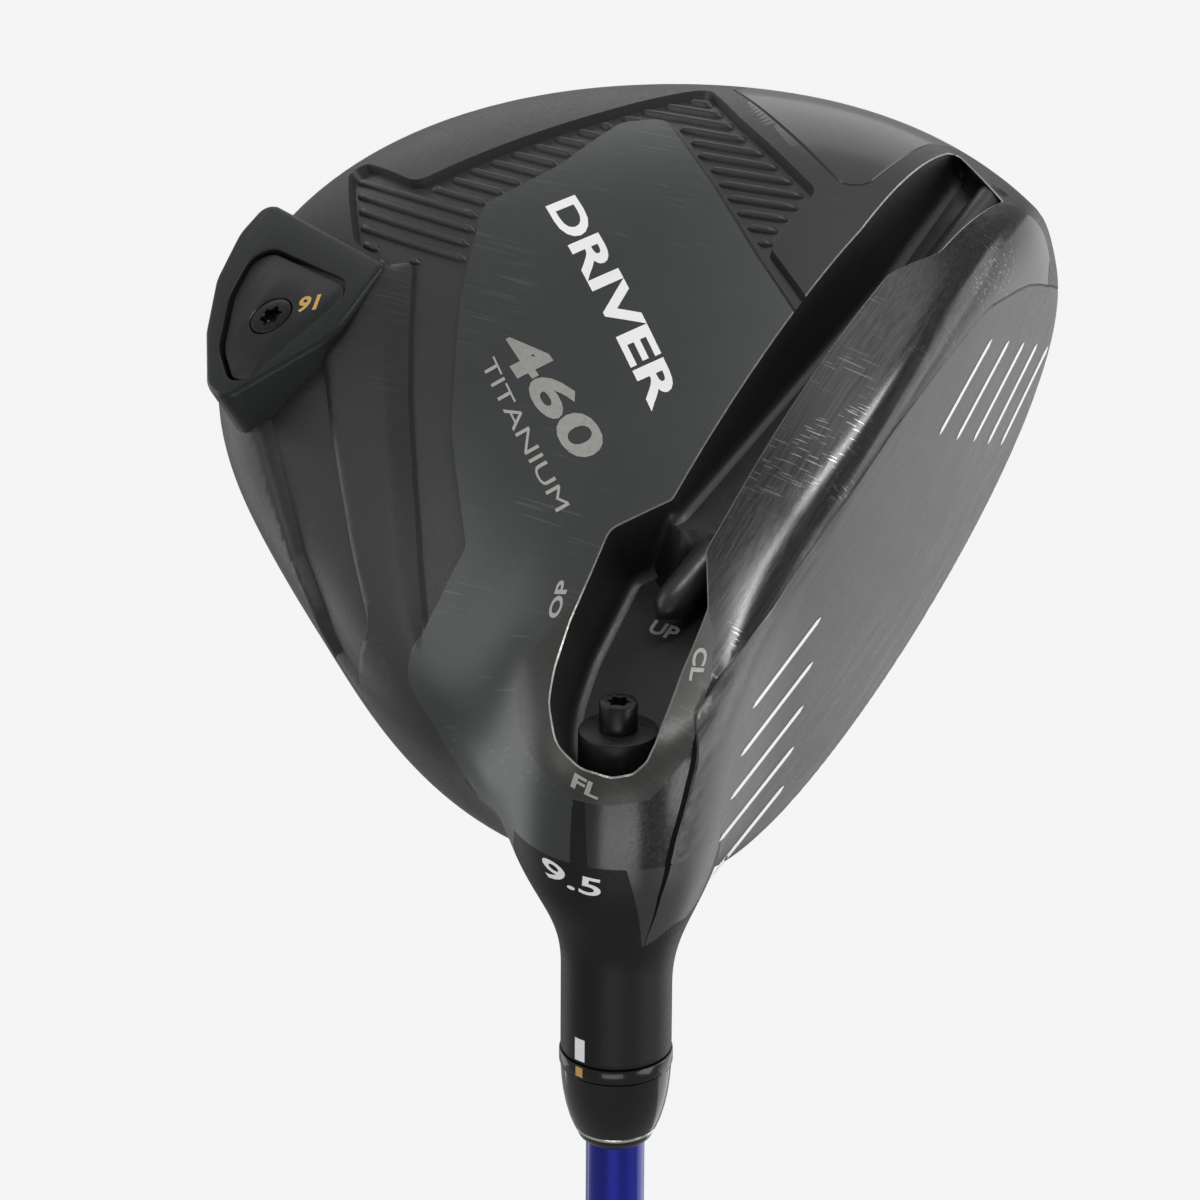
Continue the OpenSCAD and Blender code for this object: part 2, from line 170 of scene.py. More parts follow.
# ---------------------------------------------------------------- outlines
def rounded(corners, closed=True, step=8.0):
    """Corners given as x, y and a radius become an outline with arcs."""
    out = []
    n = len(corners)
    for i, c in enumerate(corners):
        p = np.array(c[:2], float)
        r = c[2] if len(c) > 2 else 0
        if r == 0 or (not closed and i in (0, n - 1)):
            out.append(p)
            continue
        a = np.array(corners[i - 1][:2], float) - p
        b = np.array(corners[(i + 1) % n][:2], float) - p
        la, lb = np.linalg.norm(a), np.linalg.norm(b)
        a, b = a / la, b / lb
        half = math.acos(np.clip(a @ b, -1, 1)) / 2
        cut = min(r / math.tan(half), 0.48 * la, 0.48 * lb)
        r = cut * math.tan(half)
        centre = p + (a + b) / np.linalg.norm(a + b) * r / math.sin(half)
        start, end = p + a * cut - centre, p + b * cut - centre
        sweep = math.pi - 2 * half
        turns = max(2, int(math.degrees(sweep) / step) + 1)
        sign = 1 if start[0] * end[1] - start[1] * end[0] > 0 else -1
        for k in range(turns + 1):
            t = sign * sweep * k / turns
            out.append(centre + [start[0] * math.cos(t) - start[1] * math.sin(t),
                                 start[0] * math.sin(t) + start[1] * math.cos(t)])
    return np.array(out)


def dense(line, step, closed=True):
    """The line with points added so that none are further apart than a step."""
    out = []
    n = len(line)
    for i in range(n if closed else n - 1):
        a, b = line[i], line[(i + 1) % n]
        k = max(1, int(math.ceil(np.linalg.norm(b - a) / step)))
        out += [a + (b - a) * j / k for j in range(k)]
    if not closed:
        out.append(line[-1])
    return np.array(out)


def moved(line, by, closed=True):
    """The outline moved to its left by a distance, mitred at corners."""
    if closed:
        before, after = np.roll(line, 1, 0), np.roll(line, -1, 0)
    else:
        before = np.vstack([2 * line[0] - line[1], line[:-1]])
        after = np.vstack([line[1:], 2 * line[-1] - line[-2]])
    a = line - before
    b = after - line
    a /= np.linalg.norm(a, axis=1, keepdims=True) + 1e-12
    b /= np.linalg.norm(b, axis=1, keepdims=True) + 1e-12
    m = np.column_stack([-(a + b)[:, 1], (a + b)[:, 0]])
    m /= np.linalg.norm(m, axis=1, keepdims=True) + 1e-12
    mitre = np.clip((m * np.column_stack([-a[:, 1], a[:, 0]])).sum(1), 0.5, 1)
    return line + m * (by / mitre)[:, None]


def anticlockwise(line):
    x, y = line[:, 0], line[:, 1]
    return line if (x * np.roll(y, -1) - y * np.roll(x, -1)).sum() > 0 else line[::-1]


def inside(p, loop):
    """Which points lie inside a loop."""
    x, y = p[:, 0][:, None], p[:, 1][:, None]
    x1, y1 = loop[:, 0], loop[:, 1]
    x2, y2 = np.roll(x1, -1), np.roll(y1, -1)
    with np.errstate(divide="ignore", invalid="ignore"):
        hit = ((y1 > y) != (y2 > y)) & (x < (x2 - x1) * (y - y1) / (y2 - y1) + x1)
    return hit.sum(1) % 2 == 1


def distance(p, line, closed=True):
    """How far each point is from a line."""
    a = line if closed else line[:-1]
    b = np.roll(line, -1, 0) if closed else line[1:]
    best = np.full(len(p), 1e9)
    for s, e in zip(a, b):
        d = e - s
        t = np.clip(((p - s) @ d) / (d @ d + 1e-12), 0, 1)
        best = np.minimum(best, np.linalg.norm(p - s - t[:, None] * d, axis=1))
    return best


def nearest(line, point):
    return int(np.argmin(np.linalg.norm(line - point, axis=1)))


def starting_at(line, point):
    """The line, turned round if its last end is nearer to the point than its first."""
    first, last = np.linalg.norm(line[[0, -1]] - point, axis=1)
    return line[::-1] if first > last else line


# Plan outlines on the sole, as x, y and corner radius
OPENING = [(59, 33.9, 1), (31.8, 36.3, 20), (-24, 36, 1.5), (-31.8, 29.6, 3), (-47.5, 31.5, 30),
           (-55.6, 33.7, 20), (-61.2, 36.2, 12), (-67.4, 41.2, 8), (-69.5, 46.3, 6), (-68.9, 51.0, 4),
           (-67.0, 53.5, 3), (-64.6, 54.5, 3), (-61.6, 54.4, 8), (-56.6, 53.2, 12), (-48.9, 51.1, 30),
           (-37.6, 49.0, 3), (-29.3, 44.3, 2), (26, 44.4, 6), (33.5, 47.9, 4), (51.5, 46.8, 1)]
PLATE = [(-48, 44), (0, 41), (12.2, 36.6), (20.5, 24.7), (31.2, 10.6, 30), (43.6, -6.6, 3.5), (40.6, -12.6, 3),
         (27.5, -15.6, 10), (16.6, -22.3, 3), (-2.3, -14.4, 30), (-24, -3, 20), (-40.5, 8.9, 3), (-48.6, 7.9, 4),
         (-58.2, 5.6, 3), (-66, 17.6, 20), (-74, 30, 10)]
PLATE_HEEL = [(-85, 41), (-80, 47), (-73, 50.5), (-67, 48.5), (-61, 45)]   # in chart units, under neck and port
RECESS = [(-53.2, 6.4), (-38.9, -2), (-20, -14.1, 20), (3.6, -27.9, 2), (2.4, -32, 1), (5.6, -41, 6), (27, -59.5, 2),
          (19.6, -38.2, 3.5), (25, -33.6, 5), (43, -17.6, 20), (55.5, -7.4, 3), (47.9, 4.4), (36.4, 25.8, 2.5),
          (22.2, 26.7, 1), (15.9, 36.4), (6, 42), (-30, 34), (-47, 14)]
BAND = [(2.4, -32), (-16, -20.6, 20), (-48.9, 0.1, 20), (-55.5, 6)]
SCOOP = [(-5, -34.6, 2), (-15.4, -32.4, 1.5), (-30.2, -21.8), (-42.5, -12.4), (-53, -3.8, 3), (-60, -8, 4),
         (-44, -26, 10), (-24.6, -44, 3)]
TOE_PANEL = [(56.6, -3.4), (37.6, 31.6, 3), (48.4, 31.5, 8), (60.6, 30.7, 4), (64, 40), (60, 49)]
RAIL_TOE = [(51.5, 46.8, 17.5), (51.6, 48.0, 21.0), (53.0, 47.8, 28.0), (53.5, 48.4, 33.0)]
# lines drawn in space where the sole is steep: the rail's end, the band round the port, and the heel's bands of
# painted highlight and painted shade
RAIL_HEEL = [(-37.6, 49.0, 7.5), (-41.5, 52.5, 8.0), (-47.5, 55.6, 8.6), (-54, 57.4, 9.0), (-60, 58.0, 10.4),
             (-63.8, 57.6, 10.7), (-68.1, 55.8, 11.9), (-69.9, 53.7, 11.2)]
RAIL_SPIKE = [(-69.9, 53.7, 11.2), (-75.9, 53.9, 19.9)]
PORT_BAND = [(-44.5, 31.2, 5.0), (-50.0, 29.2, 6.0), (-54.8, 27.3, 7.7), (-60.4, 29.0, 9.3), (-65.6, 32.8, 9.5),
             (-70.2, 39.2, 8.8), (-72.4, 45.4, 9.7), (-71.5, 51.4, 10.9), (-69.9, 53.7, 11.2)]
# a lighter band on the heel: a painted highlight that stands in for a reflection of the lights
HEEL_HIGHLIGHT_PAINT = [(-72.2, 47.6, 10.4), (-71.5, 51.4, 10.9), (-69.9, 53.7, 11.2), (-75.9, 53.9, 19.9),
              (-77.6, 52.0, 20.5), (-78.8, 49.0, 19.5)]
# a darker band beside it: painted shade that stands in for a dark reflection
HEEL_SHADE_PAINT = [(-72.6, 45.7, 10.2), (-72.2, 47.6, 10.4), (-78.8, 49.0, 19.5), (-79.2, 46.0, 19.5)]
GAP_WIDTH, GAP_TIP = 0.9, (-50.0, 58.4, 8.5)
SLOT_CORNERS = [(51.5, 46.8), (-37.6, 49.0)]      # the ends of the opening's edge that borders on the rail
FACE = [(64, 60), (57.4, 44, 40), (45.5, 28, 40), (32, 17.6, 20), (17, 13.4, 20), (3, 10.9, 30), (-15, 10.6, 20),
        (-32, 11.6, 20), (-46, 9.8, 20), (-55.5, 8.6, 6), (-62.7, 13.9, 20), (-68.7, 19.2, 20), (-74.8, 26.2),
        (-77.3, 30), (-72, 40), (-64, 46), (-70, 60)]
PLATE_STEP, PLATE_SLOPE = 1.5, 0.9
RECESS_STEP, RECESS_SLOPE = 1.5, 0.5
RIM_STEP, RIM_SLOPE = 0.15, 0.17
BAND_STEP = 0.7
SCOOP_STEP, SCOOP_SLOPE = 1.6, 2.2
GROOVE, GROOVE_HALF = 0.22, 0.22
SHELL_SPACING, CROWN_SPACING = 1.5, 1.8


def on_sole(outline, closed=True, step=1.2):
    return chart(sole_points(dense(rounded(outline, closed), step, closed)))


def in_space(corners, closed=False, step=1.0):
    """A line through points in space, on the chart."""
    return dense(chart(corners), step, closed)


def axis_point(station):
    return SHAFT_FOOT + station * SHAFT


def around(turns, u=SHAFT_TOE, v=SHAFT_FACE):
    """Directions at some angles round an axis, from the two directions square to it."""
    return np.cos(turns)[:, None] * u + np.sin(turns)[:, None] * v


def neck_edge(turns):
    """The line round the shaft axis at which the hosel piece meets the head."""
    way = around(turns)
    start = axis_point(NECK_FROM)
    reach = first_exit(start, way, 2, 60)[:, None]
    wide = start + way * NECK_REACH
    climb = first_exit(wide, np.tile(SHAFT, (len(way), 1)), 0, 50)[:, None]
    return np.where(reach <= NECK_REACH, start + way * reach, wide + SHAFT * climb)


def seam(turns, up):
    """The seam between body and crown, as chart angles all round."""
    flat = np.column_stack([np.cos(turns), np.sin(turns)])

    def above(angle):
        p = lift(flat * angle[:, None] * CHART)
        front = np.clip((p[:, 1] - 36) / 10, 0, 1)
        return p[:, 2] > SEAM_BACK[2] + SEAM_CLIMB * (p[:, 1] - SEAM_BACK[1]) + SEAM_FRONT * front * front

    angles = halve(np.full(len(turns), math.radians(40)), np.full(len(turns), math.radians(140)), 26, above)[0]
    return chart(lift(flat * angles[:, None] * CHART), up)


ROUND = np.linspace(-math.pi, math.pi, 361)[:-1]
NECK_TURNS = np.linspace(-math.pi, math.pi, 241)[:-1]
NECK_LINE = neck_edge(NECK_TURNS)


def past_neck(points):
    """True for points that belong to the hosel piece: near the shaft axis and beyond the neck's line."""
    d = points - SHAFT_FOOT
    along = d @ SHAFT
    off = np.linalg.norm(d - along[:, None] * SHAFT, axis=1)
    edge = np.interp(np.arctan2(d @ SHAFT_FACE, d @ SHAFT_TOE), NECK_TURNS, (NECK_LINE - SHAFT_FOOT) @ SHAFT)
    return (off < NECK_REACH + 1) & (along > edge + 0.15)


def tree_of(points):
    """A tree to find the nearest of some points by their first two coordinates."""
    tree = kdtree.KDTree(len(points))
    for i, p in enumerate(points):
        tree.insert((p[0], p[1], 0), i)
    tree.balance()
    return tree


def triangulate(loops, chains, edge_of_world, spacing, fine=None):
    """A flat mesh through all lines, with a honeycomb of points between them."""
    points, edges = [], []
    for line, closed in [(l, True) for l in loops] + [(c, False) for c in chains]:
        base = len(points)
        points += list(line)
        n = len(line)
        edges += [(base + i, base + (i + 1) % n) for i in range(n if closed else n - 1)]
    near = tree_of(points)
    lo, hi = edge_of_world.min(0), edge_of_world.max(0)
    rows = np.arange(lo[1], hi[1], spacing * 0.866)
    grid = np.array([[x + (spacing / 2 if j % 2 else 0), y] for j, y in enumerate(rows)
                     for x in np.arange(lo[0], hi[0], spacing)])
    grid = grid[inside(grid, edge_of_world)]
    room = np.full(len(grid), spacing)
    if fine is not None:
        close = distance(grid, fine[0], False) < fine[1]
        small = np.vstack([grid[close] + shift for shift in
                           spacing * np.array([[0, 0], [0.5, 0], [0.25, 0.433], [-0.25, 0.433]])])
        grid = np.vstack([grid[~close], small])
        room = np.hstack([room[~close], np.full(len(small), spacing / 2)])
    points += [p for p, r in zip(grid, room) if near.find((*p, 0))[2] > 0.5 * r]
    done = geometry.delaunay_2d_cdt([Vector(p) for p in points], edges, [], 0, 1e-5)
    uv = np.array([v[:] for v in done[0]])
    tri = np.array([f for f in done[2]])
    return uv, tri


# ---------------------------------------------------------------- making pieces
def ride_on(obj, body, nodes=()):
    bpy.context.scene.collection.objects.link(obj)
    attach(obj, body)
    if nodes:
        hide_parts(*nodes)
    return obj


def make(name, points, faces, material, body="head", nodes=(), slot=None, smooth=30.0):
    mesh = bpy.data.meshes.new(name)
    mesh.from_pydata([tuple(p) for p in np.asarray(points) * MM], [], [tuple(int(i) for i in f) for f in faces])
    mesh.validate()
    mesh.update()
    mesh.polygons.foreach_set("use_smooth", [True] * len(mesh.polygons))
    mesh.set_sharp_from_angle(angle=math.radians(smooth))
    mesh.materials.append(material)
    return ride_on(bpy.data.objects.new(name, mesh), body, nodes)


def part_of(points, tri, chosen):
    """The chosen faces of a mesh, with only the points that they use."""
    used = np.unique(tri[chosen])
    index = np.full(len(points), -1)
    index[used] = np.arange(len(used))
    return points[used], index[tri[chosen]]


def facing_out(points, tri):
    a, b, c = points[tri[:, 0]], points[tri[:, 1]], points[tri[:, 2]]
    turned = (np.cross(b - a, c - a) * ((a + b + c) / 3 - MIDDLE)).sum(1) < 0
    tri = tri.copy()
    tri[turned] = tri[turned][:, ::-1]
    return tri


def tube(rings, n, turned_in=False, closed=False):
    """Quads between rings of n points each; closed joins the last ring to the first."""
    out = []
    for i in range(rings if closed else rings - 1):
        a, b = i * n, (i + 1) % rings * n
        for k in range(n):
            q = (k + 1) % n
            out.append((a + q, a + k, b + k, b + q) if turned_in else (a + k, a + q, b + q, b + k))
    return out


def across(axis):
    """Two directions square to an axis and to each other."""
    u = np.cross(axis, [0.0, 1.0, 0.0])
    u /= np.linalg.norm(u)
    return u, np.cross(axis, u)


# ---------------------------------------------------------------- materials
def material(name, colour, metallic=0.0, roughness=0.4, coat=0.0, coat_roughness=0.05, specular=0.5,
             grain=(900.0, 0.08, 0.02), scratches=None, brushed=None, flakes=None):
    """A principled material. grain is its scale, its spread of roughness and its bump; scratches is their number
    a metre, their strength and their colour; brushed is a direction, a scale, a strength and a stretch; flakes is
    a scale and a colour."""
    mat = bpy.data.materials.new(name)
    mat.use_nodes = True
    nodes, links = mat.node_tree.nodes, mat.node_tree.links
    shader = nodes["Principled BSDF"]
    shader.inputs["Base Color"].default_value = (*colour, 1)
    shader.inputs["Metallic"].default_value = metallic
    shader.inputs["Roughness"].default_value = roughness
    shader.inputs["Coat Weight"].default_value = coat
    shader.inputs["Coat Roughness"].default_value = coat_roughness
    shader.inputs["Specular IOR Level"].default_value = specular
    place = nodes.new("ShaderNodeTexCoord").outputs["Object"]

    def noise(scale, detail=3.0, stretch=None, rough=0.6):
        source = place
        if stretch is not None:
            turn = nodes.new("ShaderNodeMapping")
            turn.inputs["Rotation"].default_value = stretch[0]
            turn.inputs["Scale"].default_value = stretch[1]
            links.new(place, turn.inputs["Vector"])
            source = turn.outputs["Vector"]
        n = nodes.new("ShaderNodeTexNoise")
        n.inputs["Scale"].default_value = scale
        n.inputs["Detail"].default_value = detail
        n.inputs["Roughness"].default_value = rough
        links.new(source, n.inputs["Vector"])
        return n.outputs["Fac"]

    def ramp(fac, stops):
        r = nodes.new("ShaderNodeValToRGB")
        r.color_ramp.elements[0].position, r.color_ramp.elements[0].color = stops[0][0], (*[stops[0][1]] * 3, 1)
        r.color_ramp.elements[1].position, r.color_ramp.elements[1].color = stops[1][0], (*[stops[1][1]] * 3, 1)
        for at, value in stops[2:]:
            e = r.color_ramp.elements.new(at)
            e.color = (value, value, value, 1)
        links.new(fac, r.inputs["Fac"])
        return r.outputs["Color"]

    def combine(kind, a, b):
        m = nodes.new("ShaderNodeMath")
        m.operation = kind
        m.use_clamp = kind != "SUBTRACT"
        for socket, value in zip(m.inputs, (a, b)):
            if isinstance(value, float):
                socket.default_value = value
            else:
                links.new(value, socket)
        return m.outputs[0]

    def mixed(a, b, factor):
        m = nodes.new("ShaderNodeMix")
        m.data_type = "RGBA"
        if isinstance(a, tuple):
            m.inputs["A"].default_value = (*a, 1)
        else:
            links.new(a, m.inputs["A"])
        m.inputs["B"].default_value = (*b, 1)
        links.new(factor, m.inputs["Factor"])
        return m.outputs["Result"]

    scale, spread, height = grain
    fine = noise(scale)
    broad = noise(45.0, 4.0)
    rough = combine("ADD", ramp(fine, [(0.3, max(roughness - spread, 0.02)), (0.7, roughness + spread)]),
                    ramp(broad, [(0.35, 0.0), (0.75, spread)]))
    bump_height = fine
    tint = None
    if brushed:
        lines = noise(brushed[1], 2.0, (brushed[0], brushed[3] if len(brushed) > 3 else (1.0, 0.02, 1.0)), 0.7)
        rough = combine("ADD", rough, ramp(lines, [(0.35, 0.0), (0.7, brushed[2])]))
        bump_height = combine("ADD", fine, ramp(lines, [(0.3, 0.0), (0.7, 1.0)]))
        tint = ramp(lines, [(0.3, 0.0), (0.75, 1.0)])
    mask = None
    if scratches:
        number, strength = scratches[:2]
        for k, turn in enumerate(((0.3, 0.2, 0.5), (1.1, 0.4, -0.9), (0.2, -0.7, 1.9))):
            streak = noise(number * 8 * (1 + 0.35 * k), 0.0, (turn, (1.0, 0.03, 0.25)), 0.5)
            where = noise(28.0 + 9 * k, 2.0, ((k, 0.0, 0.0), (1.0, 1.0, 1.0)))
            thin = ramp(streak, [(0.70, 0.0), (0.715, 1.0)])
            spot = ramp(where, [(0.56, 0.0), (0.66, 0.9)])
            one = combine("MULTIPLY", thin, spot)
            mask = one if mask is None else combine("MAXIMUM", mask, one)
        mask = combine("MULTIPLY", mask, float(strength))
    low, high, share = (0.9, 1.12, broad) if tint is None else (0.72, 1.45, tint)
    out = mixed(tuple(c * low for c in colour), tuple(min(c * high, 1) for c in colour), share)
    if flakes:
        cells = nodes.new("ShaderNodeTexVoronoi")
        cells.inputs["Scale"].default_value = flakes[0]
        links.new(place, cells.inputs["Vector"])
        out = mixed(out, flakes[1], ramp(cells.outputs["Distance"], [(0.05, 0.55), (0.35, 0.0)]))
    if mask is not None:
        out = mixed(out, scratches[2], mask)
    links.new(out, shader.inputs["Base Color"])
    links.new(rough, shader.inputs["Roughness"])
    bump = nodes.new("ShaderNodeBump")
    bump.inputs["Strength"].default_value = height * 5
    bump.inputs["Distance"].default_value = 0.0002
    links.new(bump_height, bump.inputs["Height"])
    links.new(bump.outputs["Normal"], shader.inputs["Normal"])
    return mat


CAST_BLACK = material("CastBlack", (0.024, 0.0243, 0.025), 0.3, 0.40, specular=0.5, grain=(1500, 0.05, 0.02),
                      scratches=(190, 0.1, (0.16, 0.16, 0.16)))
PLATE_SATIN = material("PlateSatin", (0.06, 0.0635, 0.0645), 0.55, 0.34, grain=(2600, 0.04, 0.012),
                       scratches=(240, 0.14, (0.3, 0.31, 0.31)))
HEEL_SATIN = material("HeelSatin", (0.056, 0.056, 0.053), 0.55, 0.36, grain=(2200, 0.04, 0.012),
                      scratches=(200, 0.1, (0.25, 0.25, 0.25)))
TOE_LACQUER = material("ToeLacquer", (0.022, 0.0225, 0.024), 0.2, 0.3, coat=0.35, coat_roughness=0.12,
                       grain=(1200, 0.03, 0.006))
RAIL_METAL = material("RailMetal", (0.046, 0.047, 0.046), 0.75, 0.19, grain=(3000, 0.025, 0.001),
                      scratches=(330, 0.35, (0.55, 0.54, 0.5)),
                      brushed=((0.0, 0.0, 0.0), 2600.0, 0.04, (0.012, 1.0, 1.0)))
FACE_METAL = material("FaceMetal", (0.106, 0.105, 0.103), 0.85, 0.34, grain=(2500, 0.05, 0.01),
                      brushed=((0.0, 0.0, 0.0), 1500.0, 0.18, (0.03, 1.0, 0.5)))
BARE_EDGE = material("BareEdge", (0.3, 0.29, 0.27), 0.9, 0.34, grain=(1400, 0.12, 0.05))
CAVITY = material("Cavity", (0.012, 0.012, 0.012), 0.0, 0.42, grain=(1200, 0.06, 0.02))
INSERT = material("Insert", (0.02, 0.02, 0.021), 0.0, 0.32, grain=(1500, 0.05, 0.01))
RIB_BLACK = material("RibBlack", (0.027, 0.0275, 0.028), 0.1, 0.42, grain=(1500, 0.05, 0.02))
POD_SATIN = material("PodSatin", (0.017, 0.0185, 0.0195), 0.4, 0.38, grain=(2200, 0.04, 0.012))
WEIGHT_METAL = material("WeightMetal", (0.022, 0.023, 0.024), 0.6, 0.4, grain=(2600, 0.06, 0.02))
SCREW_BLACK = material("ScrewBlack", (0.02, 0.02, 0.022), 0.7, 0.3, grain=(2600, 0.08, 0.02))
RING_BLACK = material("RingBlack", (0.018, 0.019, 0.02), 0.5, 0.35, grain=(1500, 0.05, 0.01),
                      brushed=((0.0, 0.5236, 0.0), 1200.0, 0.1))
HOSEL_MATTE = material("HoselMatte", (0.0055, 0.0055, 0.0065), 0.0, 0.46, specular=0.28, grain=(2400, 0.05, 0.02))
# lit and shaded copies of one heel metal: this lighter one is a painted highlight
HEEL_PAINTED_HIGHLIGHT = material("HeelPaintedHighlight", (0.05, 0.05, 0.05), 0.75, 0.22, grain=(1800, 0.03, 0.002))
# the darker copy of the heel metal: painted shade
HEEL_PAINTED_SHADE = material("HeelPaintedShade", (0.014, 0.014, 0.014), 0.5, 0.24, grain=(1800, 0.04, 0.006))
HEEL_RAIL = material("HeelRail", (0.07, 0.07, 0.068), 0.7, 0.28, grain=(1800, 0.03, 0.002))
HEEL_FACE = material("HeelFace", (0.1, 0.099, 0.097), 0.85, 0.36, grain=(2500, 0.05, 0.01))
GAP_BLACK = material("GrooveBlack", (0.003, 0.003, 0.003), 0.0, 0.6, specular=0.05, grain=(1200, 0.05, 0.01))
CROWN_GLOSS = material("TopGloss", (0.006, 0.006, 0.0075), 0.0, 0.3, coat=1.0, coat_roughness=0.03,
                       grain=(900, 0.02, 0.0), flakes=(2600.0, (0.03, 0.033, 0.045)))
COLLAR_GLOSS = material("CollarGloss", (0.004, 0.004, 0.0045), 0.0, 0.24, coat=0.35, specular=0.25,
                        grain=(900, 0.03, 0.003))
FERRULE_GLOSS = material("FerruleGloss", (0.003, 0.003, 0.0035), 0.0, 0.18, coat=0.5, specular=0.25,
                         grain=(700, 0.03, 0.002))
SILVER = material("SilverTrim", (0.7, 0.69, 0.66), 1.0, 0.2, grain=(1500, 0.06, 0.01))
SHAFT_BLUE = material("ShaftBlue", (0.003, 0.009, 0.25), 0.55, 0.3, coat=0.45, specular=0.3, coat_roughness=0.03,
                      grain=(1200, 0.04, 0.0), flakes=(5200.0, (0.03, 0.06, 0.75)))
WHITE_PAINT = material("WhitePaint", (0.9, 0.9, 0.88), 0.0, 0.45, grain=(1800, 0.08, 0.02))
SILVER_PAINT = material("SilverPaint", (0.36, 0.36, 0.34), 0.5, 0.4, grain=(1500, 0.12, 0.04),
                        scratches=(420, 0.8, (0.12, 0.12, 0.12)))
GREY_PAINT = material("GreyPaint", (0.38, 0.37, 0.34), 0.1, 0.5, grain=(1500, 0.1, 0.03))
GOLD_PAINT = material("GoldPaint", (0.62, 0.38, 0.1), 0.2, 0.45, grain=(1500, 0.1, 0.03))
GRIP_RUBBER = material("GripRubber", (0.014, 0.014, 0.015), 0.0, 0.62, grain=(1600, 0.08, 0.08))
CAP_RUBBER = material("CapRubber", (0.012, 0.012, 0.013), 0.0, 0.5, grain=(1300, 0.06, 0.05))


# ---------------------------------------------------------------- the head's shell
opening = anticlockwise(on_sole(OPENING))
plate = anticlockwise(np.vstack([on_sole(PLATE, False), dense(np.array(PLATE_HEEL, float), 1.2, False)]))
recess = anticlockwise(on_sole(RECESS))
scoop = anticlockwise(on_sole(SCOOP))
band = on_sole(BAND, closed=False)
toe_seam = on_sole(TOE_PANEL, closed=False)
rail_toe = in_space(RAIL_TOE, step=1.2)
face_line = chart(face_points(dense(rounded(FACE, closed=False), 1.2, closed=False)))
SEAM_UNDER = seam(ROUND, False)
neck_line = anticlockwise(chart(NECK_LINE))
face_loop = anticlockwise(np.vstack([face_line, [[-150.0, 140.0], [150.0, 140.0]]]))


def carve(uv):
    """How deep each point of the chart lies under the smooth surface."""
    in_recess, in_plate = inside(uv, recess), inside(uv, plate)
    from_plate = np.clip(distance(uv, plate) / PLATE_SLOPE, 0, 1)
    from_edge = np.clip(distance(uv, recess) / RECESS_SLOPE, 0, 1)
    floor = np.minimum(from_plate * PLATE_STEP, from_edge * RECESS_STEP)
    shared = BAND_STEP * (distance(uv, BAND_AREA) < 0.6)
    depth = np.where(in_recess & ~in_plate, np.maximum(floor, shared), 0.0)
    to_band, to_recess = distance(uv, band, False), distance(uv, recess)
    left = inside(uv, BAND_AREA)
    depth = np.where(left & ~in_recess, BAND_STEP * to_band / (to_band + to_recess + 1e-9), depth)
    hollow = inside(uv, scoop)
    depth = np.where(hollow, SCOOP_STEP * np.clip(distance(uv, scoop) / SCOOP_SLOPE, 0, 1) ** 1.5, depth)
    near_rim = np.clip(1 - distance(uv, opening) / RIM_SLOPE, 0, 1)
    depth = np.maximum(depth, np.where(inside(uv, opening), RIM_STEP, near_rim * RIM_STEP))
    for line in (toe_seam, face_line):
        depth = np.maximum(depth, GROOVE * np.clip(1 - distance(uv, line, False) / GROOVE_HALF, 0, 1))
    return depth


BAND_AREA = on_sole([*BAND, (-53.2, 6.4), (-38.9, -2), (-20, -14.1, 20), (3.6, -27.9, 2)])
ring_line = in_space(RAIL_HEEL)
port_band = in_space(PORT_BAND)
band_area = anticlockwise(np.vstack([port_band, ring_line[::-1][1:]]))
heel_painted_highlight = anticlockwise(in_space(HEEL_HIGHLIGHT_PAINT, True))
heel_painted_shade = anticlockwise(in_space(HEEL_SHADE_PAINT, True))
to_heel = np.vstack([ring_line, in_space(RAIL_SPIKE)[1:]])
corner = [nearest(opening, chart(sole_points([p]))) for p in SLOT_CORNERS]
slot_front = starting_at(opening[min(corner):max(corner) + 1], rail_toe[0])
at_toe, at_neck = nearest(face_line, rail_toe[-1]), nearest(face_line, to_heel[-1])
face_side = starting_at(face_line[min(at_toe, at_neck):max(at_toe, at_neck) + 1], to_heel[-1])
rail_toe = np.vstack([rail_toe, face_line[at_toe][None]])
gap_line = face_side[:nearest(face_side, chart(GAP_TIP)) + 1]
gap_in = np.minimum(1.0, np.linspace(2.5, 0, len(gap_line)))[:, None]
gap_rail = gap_line + np.array([0.0, -1.0]) * gap_in * GAP_WIDTH
gap_area = anticlockwise(np.vstack([gap_line, gap_rail[::-1]]))
loops = [opening, moved(opening, -RIM_SLOPE), plate, moved(plate, -PLATE_SLOPE), recess,
         moved(recess, RECESS_SLOPE), scoop, moved(scoop, SCOOP_SLOPE * 0.5), moved(scoop, SCOOP_SLOPE),
         SEAM_UNDER, neck_line]
chains = [band, rail_toe, to_heel, port_band, heel_painted_highlight, heel_painted_shade, gap_rail]
for line in (toe_seam, face_line):
    chains += [line, moved(line, GROOVE_HALF, False), moved(line, -GROOVE_HALF, False)]
world = SEAM_UNDER * (1 + 1 / np.linalg.norm(SEAM_UNDER, axis=1))[:, None]
fine_line = np.vstack([face_line[(face_line[:, 1] > 40) & (np.abs(face_line[:, 0]) < 90)], neck_line])
uv, tri = triangulate(loops, chains, world, SHELL_SPACING, (fine_line, 11))
smooth_points = lift(uv)
shell_points = smooth_points - normal_at(smooth_points) * carve(uv)[:, None]
tri = facing_out(shell_points, tri)
mid = uv[tri].mean(1)
gone = inside(mid, opening) | inside(mid, neck_line) | ~inside(mid, SEAM_UNDER)
gone |= past_neck(smooth_points[tri].mean(1))
rim = ~gone & (distance(mid, opening) < RIM_SLOPE * 0.98)
on_face = ~gone & inside(mid, face_loop)
rail_area = anticlockwise(np.vstack([rail_toe[::-1], slot_front[1:], to_heel[1:], face_side]))
